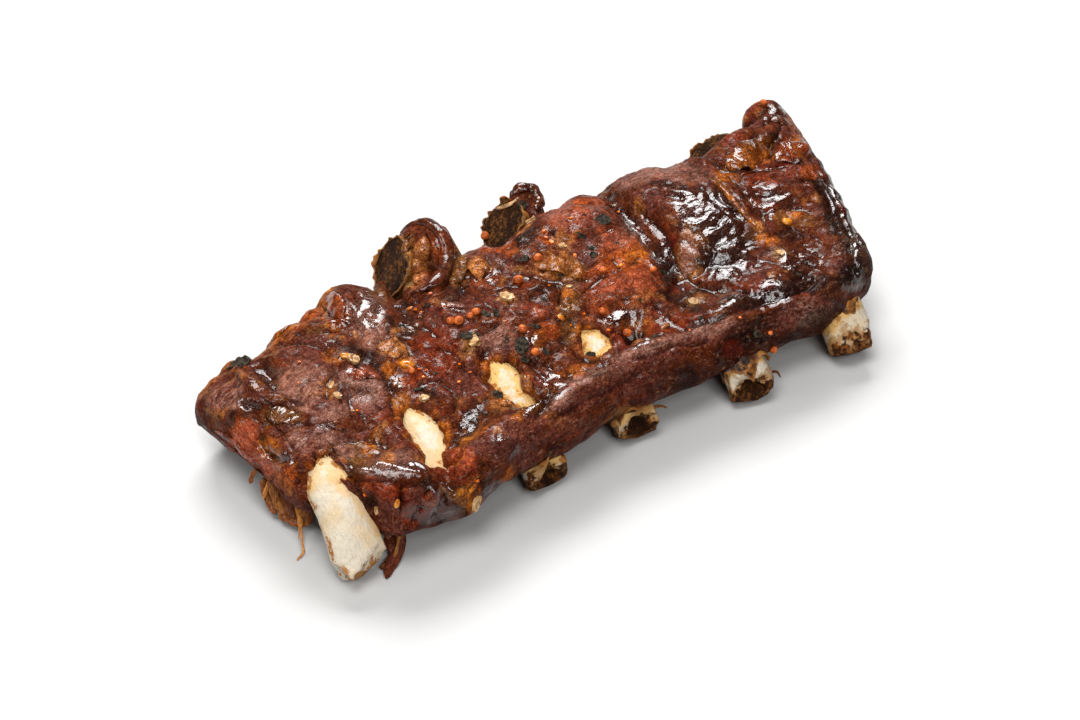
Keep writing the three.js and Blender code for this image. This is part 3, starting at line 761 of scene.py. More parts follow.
# %% Patches of tone
# (tone, middle, half width and half height in the picture, turn in degrees if it has one)
TONES = [
    ("crimson", 200, 401, 5.6, 8.8), ("plum", 224, 392, 22, 16.1, -40),
    ("mauve", 219, 402, 8.8, 5.9, -40), ("brown", 208, 424, 5.9, 17.6, -35),
    ("crimson", 249, 365, 10.3, 11), ("tan", 249, 379, 13.9, 3.5, 35), ("tan", 272, 395, 16.1, 4.7, 28),
    ("grey", 276, 371, 7.6, 6.2), ("brown", 259, 373, 7.3, 13.2, -45), ("mauve", 299, 383, 19.1, 13.9),
    ("grey", 302, 389, 8.8, 5.9), ("olive", 282, 415, 18.3, 8.5, -5), ("tan", 293, 421, 8.8, 4.1),
    ("salmon", 244, 433, 13.2, 11, 40), ("salmon", 253, 450, 13.2, 11, 45),
    ("salmon", 269, 465, 13.2, 7.3, 20), ("orange", 238, 426, 5.9, 8.8, 20),
    ("olive", 269, 445, 6.5, 11, -25), ("brown", 272, 442, 4.4, 6.6), ("plum", 307, 442, 22, 13.2, 20),
    ("olive", 363, 452, 13, 9), ("plum", 363, 402, 22, 14.7), ("mauve", 356, 377, 20.5, 9.1),
    ("tan", 329, 389, 6.6, 8.8), ("plum", 315, 354, 27.9, 15.4, -10), ("amber", 335, 356, 10.3, 8.1),
    ("brown", 334, 299, 18, 16), ("amber", 324, 308, 6, 10), ("orange", 338, 317, 8.8, 13.2),
    ("plum", 345, 290, 10, 6), ("mauve", 369, 310, 17.6, 22, 20), ("mauve", 375, 339, 16.9, 12.5),
    ("tan", 391, 349, 16.1, 8.1, 10), ("amber", 407, 365, 11, 5.6, -10),
    ("amber", 388, 371, 7.3, 7.3, 30), ("red", 412, 379, 10.3, 8.8), ("olive", 379, 294, 11, 6.2, 10),
    ("brown", 407, 308, 13.2, 14.7), ("orange", 304, 318, 19.1, 7.3, -35),
    ("amber", 281, 333, 19.1, 3.5, -38), ("brown", 287, 340, 23.5, 5.9, -35),
    ("plum", 322, 320, 8.8, 7.3), ("olive", 316, 329, 11.7, 3.5, -10), ("amber", 335, 327, 8.8, 2.6, -8),
    ("brown", 344, 426, 17.6, 10.3), ("tan", 378, 436, 7.3, 8.8), ("brown", 395, 398, 8.8, 20.5),
    ("amber", 398, 382, 8.8, 4.4), ("tan", 401, 402, 8.8, 8.8), ("amber", 407, 411, 7.3, 5.9),
    ("plum", 395, 443, 13.2, 14.7), ("mauve", 385, 461, 29.3, 8.8, -10), ("olive", 354, 452, 11.7, 10.3),
    ("amber", 224, 361, 17.6, 2.3, -45), ("plum", 252, 364, 5.9, 5.9), ("tan", 312, 393, 8.8, 7),
    ("mauve", 304, 406, 13.2, 7.3), ("brown", 284, 436, 10.3, 8.8), ("orange", 438, 240, 16.8, 19.9),
    ("brown", 431, 224, 21.4, 7.7, -10), ("tan", 421, 264, 8.9, 22.2, 10),
    ("salmon", 418, 274, 4.6, 10.7, 10), ("olive", 407, 249, 4, 11.5), ("olive", 457, 269, 10.7, 16.8),
    ("black", 461, 292, 5.5, 5.5), ("tan", 481, 267, 11.5, 9.2), ("orange", 484, 280, 14.5, 6.1, -10),
    ("plum", 498, 263, 16.8, 9.2, 20), ("orange", 492, 246, 18.4, 5.5), ("olive", 522, 269, 12.2, 4),
    ("tan", 556, 267, 20.7, 12.6, 10), ("olive", 578, 274, 12.2, 9.2),
    ("salmon", 567, 214, 26, 12.2, -10), ("orange", 581, 203, 26, 5.5, -5),
    ("orange", 604, 266, 26, 6.4, -25), ("mauve", 620, 238, 18.4, 10.7, -10),
    ("salmon", 614, 286, 29.1, 13.8, -15), ("orange", 614, 304, 24.5, 9.2, -10),
    ("brown", 581, 307, 10.7, 18.4, 20), ("plum", 461, 306, 18.4, 9.2, -10),
    ("mauve", 450, 306, 6.1, 7.7), ("olive", 570, 300, 10.7, 13), ("amber", 567, 295, 6.1, 6.1),
    ("brown", 533, 306, 21.4, 15.3), ("red", 528, 310, 11, 8), ("salmon", 538, 312, 9.2, 6.1, 30),
    ("tan", 507, 299, 10.7, 4.6, -5), ("red", 435, 345, 23, 18.4), ("red", 446, 365, 16.8, 12.2),
    ("brown", 415, 312, 19.9, 16.8), ("plum", 431, 316, 7.7, 10.7), ("amber", 407, 363, 10.7, 6.1, -15),
    ("orange", 547, 332, 13, 12.2, 20), ("amber", 539, 338, 6.1, 7.7),
    ("mauve", 498, 338, 19.9, 13.8, -20), ("brown", 521, 318, 10.7, 7.7), ("amber", 486, 364, 12.2, 9.2),
    ("olive", 467, 347, 7.7, 9.2), ("plum", 469, 382, 16.8, 18.4), ("brown", 437, 398, 18.4, 11.5),
    ("black", 432, 393, 9.2, 4.6), ("brown", 535, 370, 15.3, 10.7), ("black", 535, 362, 7.7, 4),
    ("orange", 528, 383, 4.9, 9.5), ("amber", 576, 371, 19.9, 6.4, -15), ("brown", 561, 362, 9.2, 9.2),
    ("olive", 570, 329, 9.2, 13.8), ("crimson", 619, 332, 12.2, 10.7), ("amber", 630, 327, 10.7, 7.7),
    ("red", 553, 381, 12.2, 7.7, -15), ("brown", 604, 321, 15.3, 6.1), ("plum", 599, 391, 52, 9.5, -28),
    ("mauve", 617, 371, 19.9, 4.6, -28), ("brown", 599, 413, 36.7, 7.7, -25),
    ("olive", 530, 407, 12.2, 6.7), ("tan", 498, 404, 9.2, 7.7), ("grey", 498, 394, 6.1, 6.1),
    ("black", 591, 358, 9.2, 6.1), ("plum", 507, 353, 9.2, 9.2), ("orange", 507, 246, 9.2, 9.2),
    ("brown", 527, 252, 13.8, 9.2), ("plum", 591, 250, 15.3, 10.7), ("orange", 545, 238, 7.7, 7.7),
    ("brown", 486, 319, 12.2, 7.7), ("brown", 596, 376, 9.2, 4.6, -20),
    ("crimson", 626, 347, 9.2, 4.6, -30), ("olive", 622, 411, 9.2, 6.1), ("plum", 486, 298, 9.2, 6.1),
    ("brown", 773, 114, 14.3, 10.7), ("mauve", 788, 116, 7.1, 10.7, -40),
    ("amber", 752, 152, 21.4, 10.4, -28), ("orange", 757, 162, 10.7, 5.4), ("amber", 798, 146, 9.3, 11.1),
    ("orange", 786, 148, 7.1, 10.7), ("brown", 776, 155, 6.1, 12.5, 10), ("crimson", 784, 164, 10.7, 5.4),
    ("mauve", 671, 170, 41.1, 11.1, 8), ("plum", 700, 179, 21.4, 10.7, 20),
    ("mauve", 636, 179, 21.4, 7.1, -20), ("plum", 659, 200, 21.4, 12.5, 20),
    ("deep", 714, 214, 33.9, 23.2), ("plum", 693, 211, 19.6, 12.5), ("deep", 723, 254, 23.2, 25),
    ("brown", 661, 221, 10.7, 16.1, -30), ("crimson", 668, 239, 5.4, 16.1, -25),
    ("tan", 685, 261, 10.7, 19.6, -10), ("mauve", 689, 248, 8.9, 10.7),
    ("olive", 718, 184, 10.7, 3.6, 40), ("tan", 732, 198, 12.5, 3, 42),
    ("olive", 748, 218, 12.5, 4.3, 50), ("tan", 757, 229, 7.9, 5.4, 30), ("red", 761, 179, 19.6, 8.9, 10),
    ("brown", 779, 200, 33.9, 16.1, 10), ("red", 764, 207, 17.9, 7.1, 20), ("olive", 798, 220, 17.9, 8.9),
    ("amber", 796, 214, 8.9, 5.4), ("tan", 784, 216, 8.9, 5.4), ("brown", 805, 243, 35.7, 21.4, 10),
    ("deep", 789, 236, 14.3, 7.1), ("plum", 771, 261, 19.6, 10.7), ("olive", 779, 254, 10.7, 7.1),
    ("deep", 770, 293, 41.1, 10.7, -15), ("red", 752, 286, 19.6, 5.4), ("black", 669, 279, 8.2, 10.7),
    ("crimson", 682, 289, 12.5, 5.4), ("olive", 696, 300, 11.4, 5.4, -5), ("cream", 695, 303, 3.9, 2.1),
    ("deep", 684, 295, 10.7, 4.3), ("orange", 627, 254, 26.8, 23.2), ("amber", 636, 257, 12.5, 10.7),
    ("salmon", 611, 236, 12.5, 12.5), ("salmon", 645, 280, 14.3, 14.3), ("brown", 618, 303, 21.4, 8),
    ("amber", 638, 327, 17, 8, -10), ("crimson", 627, 330, 10.7, 5.4), ("red", 675, 323, 32.1, 6.1, -14),
    ("plum", 636, 355, 41.1, 9.8, -18), ("plum", 700, 338, 44.6, 7.5, -16),
    ("mauve", 671, 338, 21.4, 3.9, -16), ("plum", 802, 312, 33.9, 13.4, -24),
    ("grey", 814, 318, 19.6, 7.1, -28), ("deep", 725, 355, 33.9, 10.7, -15),
    ("brown", 700, 359, 16.1, 10.7), ("black", 755, 339, 13.4, 6.1, 20),
    ("black", 820, 184, 8.2, 26.8, -28), ("grey", 821, 177, 4.6, 8.2, -20),
    ("black", 839, 229, 8.9, 32.1, -25), ("grey", 854, 243, 7.1, 28.6, -30),
    ("black", 850, 275, 10.7, 16.1, -10), ("deep", 830, 200, 8.9, 21.4, -25),
    ("brown", 850, 295, 10.7, 8.9), ("crimson", 857, 288, 7.1, 5.4), ("mauve", 800, 129, 7.1, 19.6, -38),
    ("plum", 771, 354, 16.1, 5.4, -25), ("crimson", 732, 350, 10.7, 8.9), ("orange", 809, 171, 10.7, 7.1),
    ("amber", 725, 175, 12.5, 6.4, 20), ("deep", 746, 238, 10.7, 10.7), ("amber", 766, 241, 10.7, 5.4),
    ("salmon", 262, 459, 20.7, 10.3, 20), ("amber", 272, 450, 12.1, 10.3),
    ("orange", 284, 473, 10.3, 8.6), ("amber", 279, 481, 12.1, 6.9), ("plum", 307, 450, 22.4, 10.3),
    # The long mauve band at 381, 469 is sheen painted on a wet ridge of the lip, and the black patch at
    # 369, 505 is painted shade in the gap between the first bone and the lip.
    ("mauve", 381, 469, 29.3, 7.6, 3), ("salmon", 370, 483, 10.3, 6.9), ("red", 386, 490, 13.8, 8.6),
    ("black", 369, 505, 8.6, 10.3), ("brown", 353, 476, 8.6, 10.3, 30), ("red", 420, 512, 25.8, 15.5),
    ("crimson", 405, 495, 10.3, 10.3), ("crimson", 436, 521, 20.7, 8.6),
    ("salmon", 431, 502, 6.2, 10.3, 30), ("olive", 464, 502, 14, 8, 20), ("amber", 474, 497, 8.6, 15.5),
    ("plum", 491, 505, 10.3, 13.8), ("amber", 501, 497, 5.9, 6.9), ("red", 462, 469, 15.5, 17.2, 20),
    ("salmon", 455, 457, 10.3, 10.3), ("crimson", 453, 526, 10.3, 6.9), ("red", 494, 521, 10.3, 5.2, -30),
    ("brown", 505, 474, 12.1, 15.5), ("olive", 360, 462, 12.1, 8.6), ("amber", 370, 450, 8.6, 6.9),
    ("tan", 388, 459, 6.9, 5.2), ("plum", 284, 499, 20.7, 5.2, 20), ("mauve", 279, 485, 12.1, 4.5, 20),
    # The mauve streaks on this line and the next are a pale sheen painted along the crest of the lip.
    ("mauve", 585, 378, 26, 5.5, -30), ("mauve", 640, 350, 30, 6, -20), ("mauve", 705, 330, 28, 5, -14),
    ("mauve", 560, 398, 16, 6, -32), ("grey", 655, 347, 14, 2.6, -18), ("grey", 598, 374, 12, 2.6, -30),
    ("plum", 560, 430, 30, 8, -28), ("plum", 640, 385, 30, 7, -24), ("amber", 520, 415, 8, 5, -20),
    # Patches of the pale sheen tone paint a sheen on the left of the slab and beside the first bone.
    ("plum", 226, 395, 22, 14, -30), ("salmon", 246, 438, 13, 20, 15), ("painted_sheen", 303, 384, 20, 14, 15),
    ("mauve", 364, 392, 18, 15), ("painted_sheen", 371, 326, 11, 18, 10), ("plum", 318, 441, 24, 12),
    ("painted_sheen", 384, 471, 24, 5, 3), ("amber", 283, 420, 9, 4, -5), ("mauve", 344, 452, 12, 7),
    ("mauve", 293, 436, 9, 9), ("plum", 312, 424, 11, 7), ("mauve", 322, 418, 12, 7),
    ("mauve", 236, 402, 11, 8, -30), ("rose", 243, 438, 10, 18, 20), ("rose", 258, 462, 12, 7, 25),
    ("gold", 743, 151, 12, 6, -28), ("gold", 798, 148, 6, 8), ("amber", 766, 158, 12, 5),
    ("painted_sheen", 318, 372, 14, 8), ("mauve", 336, 410, 14, 9), ("mauve", 330, 440, 14, 8),
    ("salmon", 464, 460, 7, 10, 10), ("gold", 466, 492, 10, 5, -30), ("gold", 470, 506, 4, 7),
    # The narrow deep patches from here on are painted shade: three lie in creases of the front face, and
    # the long one darkens a line along its lower edge.
    ("deep", 400, 498, 3, 12, 5), ("deep", 445, 503, 2.5, 11, 10), ("plum", 414, 494, 8, 9),
    ("rose", 431, 500, 3.5, 9, 8), ("amber", 506, 478, 4, 14, 25), ("deep", 486, 489, 4, 11, 20),
    ("deep", 440, 523, 26, 3, -6),
]
print("patches of tone:", len(TONES))

# %% Wet places, and places of painted sheen
# (middle, half width and half height in the picture, turn in degrees if it has one)
WET = [
    (711, 214, 33.9, 23.2), (723, 252, 30.4, 26.8), (768, 200, 26.8, 16.1, 10),
    (761, 295, 48.2, 12.5, -15), (661, 257, 10.7, 14.3), (754, 152, 21.4, 10.7, -28),
    (850, 279, 14.3, 12.5), (682, 200, 14.3, 10.7), (800, 261, 21.4, 10.7), (625, 314, 23.2, 4.6, -10),
    (626, 319, 19.9, 9.2), (530, 407, 19.9, 9.2, -20), (484, 276, 16.8, 9.2), (450, 304, 10.7, 7.7),
    (492, 243, 19.9, 5.2), (536, 342, 10.7, 9.2), (553, 381, 13.8, 9.2), (409, 327, 10.7, 7.7),
    (435, 237, 10.7, 9.2), (622, 226, 16.8, 9.2), (338, 314, 11.7, 14.7), (369, 310, 16.1, 19.1),
    (285, 459, 8.8, 10.3), (284, 418, 17.6, 8.2), (335, 349, 11.7, 8.8), (272, 392, 7.3, 5.9),
    (325, 427, 10.3, 5.3), (395, 384, 8.8, 8.8), (249, 402, 11.7, 5.3), (357, 371, 14.7, 4.4, 10),
    (381, 468, 31, 7.6, 3), (274, 454, 18.9, 10.3), (505, 447, 15.5, 12.1), (443, 493, 15.5, 10.3),
    (430, 512, 30, 12), (496, 500, 14, 18, 20), (836, 196, 7, 30, -25), (855, 246, 7, 30, -15),
    (774, 114, 13, 8, -20), (800, 150, 9, 10), (246, 405, 7, 5), (412, 470, 16, 9),
    (552, 400, 16, 3.5, -36), (640, 344, 12, 3, -20), (706, 322, 14, 3, -14), (596, 368, 11, 3, -30),
]
# Places where a pale sheen is painted into the colour, in the same way
PAINTED_SHEEN_PLACES = [
    (300, 382, 28, 20), (366, 395, 22, 20), (371, 326, 15, 26, 10), (318, 441, 26, 12),
    (384, 471, 26, 7, 3), (226, 395, 22, 14, -30), (262, 462, 20, 8, 20), (498, 338, 16, 9, -20),
    (620, 238, 18, 10, -10), (571, 214, 26, 10, -8), (671, 172, 40, 9, 8), (585, 378, 34, 6, -30),
    (640, 350, 34, 6, -20), (705, 330, 30, 5, -14), (802, 312, 30, 11, -24), (560, 402, 16, 6, -32),
]
print("wet places:", len(WET), "and silky places:", len(PAINTED_SHEEN_PLACES))

# %% Paint the tones on the points
PATCH_COVER = 0.8
PATCH_EDGE = (1.4, 0.55)


def tone_of(name):
    return np.array(MEAT_TONES[name][:3])


def drifting_tones(points):
    drift = wobble(0, points, (1, 13, 41), (0.5, 5, 42))
    tones = mix(tone_of("deep"), tone_of("brown"), smooth(-0.5, 0, drift)[..., None])
    tones = mix(tones, tone_of("plum"), smooth(0.0, 0.25, drift)[..., None])
    ruddy = wobble(0, points, (1, 11, 43), (0.4, 4, 44))
    tones = mix(tones, tone_of("red"), 0.55 * smooth(0.2, 0.5, ruddy)[..., None])
    fatty = wobble(0, points, (1, 9, 45), (0.5, 3, 46))
    return mix(tones, tone_of("tan"), 0.7 * smooth(0.38, 0.6, fatty)[..., None])


def painted_tones(points, normals):
    x, _, z = np.moveaxis(points, -1, 0)
    tones = drifting_tones(points)
    # Faces that look forward are painted darker as shade, more so towards the right; faces at the right end
    # turn deep as char.
    painted_front_shade = 0.75 * smooth(0.25, 0.75, -normals[..., 1]) * smooth(-30, 60, x)
    dark_end = 0.9 * smooth(0.3, 0.8, normals[..., 0]) * smooth(85, 100, x)
    tones = mix(tones, tone_of("deep"), np.minimum(painted_front_shade + dark_end, 1)[..., None])
    u, v, faces_camera = in_picture(points, normals)
    u = wobble(u, points, (4.5, 6, 47), (2.5, 2.2, 48))
    v = wobble(v, points, (4.5, 6, 49), (2.5, 2.2, 50))
    for name, *patch in TONES:
        share = PATCH_COVER * smooth(*PATCH_EDGE, patch_distance(u, v, *patch)) * faces_camera
        tones = mix(tones, tone_of(name), share[..., None])
    # A golden glow is painted on the upper back edge at the left, where light from behind shines through
    # the thin meat.
    painted_back_glow = smooth(0.2, 0.55, normals[..., 1]) * bell((z - 25) / 4.5) * smooth(-30, -45, x)
    patchy = smooth(-0.2, 0.35, fine_noise(points, 7, seed=52))
    return mix(tones, tone_of("gold"), (0.7 * painted_back_glow * (0.4 + 0.6 * patchy))[..., None])


tones = painted_tones(points, normals)
stained = window_rim * smooth(-0.2, 0.3, fine_noise(points, 3, seed=51))
tones = mix(tones, tone_of("amber"), (0.8 * stained)[..., None])
shares = {
    "wet": shares_in_picture(points, normals, WET),
    "smooth": smooth_share,
    "pool": smooth(0.15, 0.9, wide_hollow) * smooth(0, 0.5, normals[..., 2]),
    "painted_sheen": shares_in_picture(points, normals, PAINTED_SHEEN_PLACES),
    "lip": smooth(-20, -28, points[..., 1]),
    # The hollow share is shade painted into the small folds, and later into the undersides of the rolls.
    "hollow": smooth(0.02, 0.25, fine_hollow),
}
mean_shares = {kind: round(float(share.mean()), 3) for kind, share in shares.items()}
print("mean shares of the points:", mean_shares)

# %% [markdown]
# ## From points to a piece
# The points are millimetres in the pattern, so a piece is made by moving them to the frame's origin
# and turning them to metres. It carries its shares and tones as attributes that a finish can read.

# %% Make a mesh from points
def new_piece(name, verts, faces, material=None, shares=None, tones=None):
    mesh = bpy.data.meshes.new(name)
    place = (np.asarray(verts, float).reshape(-1, 3) - BOX_MIDDLE) * MM
    mesh.from_pydata(place.tolist(), [], [list(map(int, f)) for f in faces])
    mesh.update()
    for kind, share in (shares or {}).items():
        stored = mesh.attributes.new(kind, "FLOAT", "POINT")
        stored.data.foreach_set("value", np.asarray(share, np.float32).ravel())
    if tones is not None:
        stored = mesh.attributes.new("tone", "FLOAT_COLOR", "POINT")
        rgba = np.concatenate([tones.reshape(-1, 3), np.ones((tones.size // 3, 1))], 1)
        stored.data.foreach_set("color", rgba.astype(np.float32).ravel())
    mesh.polygons.foreach_set("use_smooth", [True] * len(mesh.polygons))
    piece = bpy.data.objects.new(name, mesh)
    bpy.context.scene.collection.objects.link(piece)
    if material:
        mesh.materials.append(material)
    return piece


def skin_faces(rings, sides):
    i, j = np.meshgrid(np.arange(rings - 1), np.arange(sides), indexing="ij")
    a, b = i * sides + j, i * sides + (j + 1) % sides
    quads = np.stack([a, a + sides, b + sides, b], -1).reshape(-1, 4).tolist()
    return quads + [list(range(sides)), list(range(rings * sides - 1, (rings - 1) * sides - 1, -1))]


meat = new_piece("meat_slab", points, skin_faces(STATIONS, RING), shares=shares, tones=tones)
print("meat faces:", len(meat.data.polygons))


# %% A search tree, which finds the nearest point of a surface or the first one that a ray meets
def surface_tree(*objects):
    verts, faces = [], []
    for piece in objects:
        small = [face for face in piece.data.polygons if len(face.vertices) < 5]
        faces += [[i + len(verts) for i in face.vertices] for face in small]
        verts += [tuple(vertex.co) for vertex in piece.data.vertices]
    return BVHTree.FromPolygons(verts, faces)


meat_tree = surface_tree(meat)
below_middle = meat_tree.find_nearest(Vector((0, 0, 0)))[0]
print("the meat nearest to the origin, in mm:", [round(c / MM, 1) for c in below_middle])

# %% [markdown]
# ## Finishes
# Every finish is built from a few kinds of node, so a small kit makes them: soft clouds of a given
# size in millimetres, steps between two values, blends of two colours, and the shares that the mesh
# carries. Object coordinates are in metres, so a cloud of 5 mm has a scale of 200.

# %% A small kit for finishes
def start_finish(name):
    material = bpy.data.materials.new(name)
    material.use_nodes = True
    return material, material.node_tree, material.node_tree.nodes["Principled BSDF"]


def feed(tree, node, values):
    for key, value in values.items():
        if isinstance(value, bpy.types.NodeSocket):
            tree.links.new(value, node.inputs[key])
        else:
            node.inputs[key].default_value = value
    return node


def put(tree, kind, values=None, **settings):
    node = tree.nodes.new(kind)
    for key, value in settings.items():
        setattr(node, key, value)
    return feed(tree, node, values or {})


print("each finish starts from a Principled BSDF, whose inputs are fed by name")

# %% Patterns of a finish
SWIRL_SCALE = 160.0
FOLD_WIDTH = 0.18


def shifted(tree, operation, values):
    return put(tree, "ShaderNodeVectorMath", values, operation=operation).outputs[0]


def where(tree, stretch=(1, 1, 1), shift=0.0, wander=0.0):
    place = put(tree, "ShaderNodeTexCoord").outputs["Object"]
    if wander:
        values = {"Vector": place, "Scale": SWIRL_SCALE, "Detail": 2.0}
        swirl = put(tree, "ShaderNodeTexNoise", values).outputs["Color"]
        centred = shifted(tree, "SUBTRACT", {0: swirl, 1: (0.5, 0.5, 0.5)})
        push = shifted(tree, "SCALE", {0: centred, "Scale": wander * MM})
        place = shifted(tree, "ADD", {0: place, 1: push})
    values = {"Vector": place, "Scale": stretch, "Location": (shift, shift, 0)}
    return put(tree, "ShaderNodeMapping", values).outputs[0]


def cloud(tree, place, size, detail=2.0, rough=0.5):
    """size: of one blot of the cloud, in mm"""
    values = {"Vector": place, "Scale": 1000.0 / size, "Detail": detail, "Roughness": rough}
    return put(tree, "ShaderNodeTexNoise", values).outputs["Fac"]


def step(tree, value, low, high, start=0.0, stop=1.0):
    """start comes out where the value is low, and stop where it is high"""
    values = {"Value": value, "From Min": low, "From Max": high, "To Min": start, "To Max": stop}
    return put(tree, "ShaderNodeMapRange", values, interpolation_type="SMOOTHSTEP").outputs["Result"]


def calc(tree, operation, a, b=0.0):
    return put(tree, "ShaderNodeMath", {0: a, 1: b}, operation=operation, use_clamp=True).outputs[0]


def times(tree, a, b):
    return calc(tree, "MULTIPLY", a, b)


def add_up(tree, a, b):
    return put(tree, "ShaderNodeMath", {0: a, 1: b}, operation="ADD").outputs[0]


def fold(tree, place, size, detail=2.0):
    centred = add_up(tree, cloud(tree, place, size, detail), -0.5)
    return step(tree, calc(tree, "ABSOLUTE", centred), 0.0, FOLD_WIDTH)


print("a swirl is", round(1000 / SWIRL_SCALE, 1), "mm wide")

# %% Colours, bumps and light of a finish
def blend(tree, share, a, b, mode="MIX"):
    values = {"Factor": share, 6: a, 7: b}
    return put(tree, "ShaderNodeMix", values, data_type="RGBA", blend_type=mode).outputs[2]


def share_of(tree, kind, output="Fac"):
    return put(tree, "ShaderNodeAttribute", attribute_name=kind).outputs[output]


def ramp(tree, value, stops):
    node = put(tree, "ShaderNodeValToRGB", {"Fac": value})
    while len(node.color_ramp.elements) < len(stops):
        node.color_ramp.elements.new(0.5)
    for element, (place, tone) in zip(node.color_ramp.elements, stops):
        element.position = place
        element.color = tone
    return node.outputs["Color"]


def bumps(tree, shader, layers, socket="Normal"):
    """layers: (height, depth in mm)"""
    normal = None
    for height, depth in layers:
        values = {"Height": height, "Distance": depth * MM, "Strength": 1.0}
        if normal:
            values["Normal"] = normal
        normal = put(tree, "ShaderNodeBump", values).outputs["Normal"]
    feed(tree, shader, {socket: normal})


def let_light_in(tree, shader, weight, radius, depth):
    values = {"Subsurface Weight": weight, "Subsurface Radius": radius, "Subsurface Scale": depth * MM}
    feed(tree, shader, values)


print("depths of bumps and of light are given in mm:", MM, "of a metre each")

# %% [markdown]
# ## Glazed bark
# The tones on the mesh are large and soft. The finish breaks them up at the size of a grain of rub,
# lays streaks of amber glaze and tan fat over them, and pale fibres that also stand in for a dry sheen,
# paints shade into the folds and hollows, paints a pale sheen in streaks where the mesh asks for it,
# and sets how wet each place is. Wet places are darker. The wettest places mirror the light in small
# hard glints, because the coat there is full, and ripples of its own, about a millimetre wide, break
# every glint up.

# %% Glazed bark
# The first tone is painted both as shade in the folds and as the darker colour of wet meat.
SHADE_AND_WET_DARK = srgb(30, 9, 5)
GLAZE_AMBER = srgb(150, 70, 16)
FAT_TAN = srgb(196, 146, 98)
RUB_DARK = srgb(30, 14, 9)
FIBRE_AND_SHEEN_PALE = srgb(176, 130, 104)
PAINTED_SHEEN_PALE = srgb(164, 124, 110)
FOLD_SHADE = (0.46, 0.27, 0.17, 1)
WET_ROUGHNESS = (0.22, 0.22, 0.22, 1)
DRY_RELIEF = (0.55, 0.55, 0.55, 1)
# (place on the ramp, colour that the tone is multiplied by)
MOTTLE = [
    (0.3, (0.34, 0.24, 0.18, 1)), (0.45, (0.84, 0.74, 0.66, 1)), (0.56, (1.12, 1.08, 1.02, 1)),
    (0.72, (1.7, 1.64, 1.54, 1)),
]
PORES = [(0.36, (0.5, 0.36, 0.28, 1)), (0.5, (1, 1, 1, 1)), (0.66, (1.35, 1.28, 1.2, 1))]


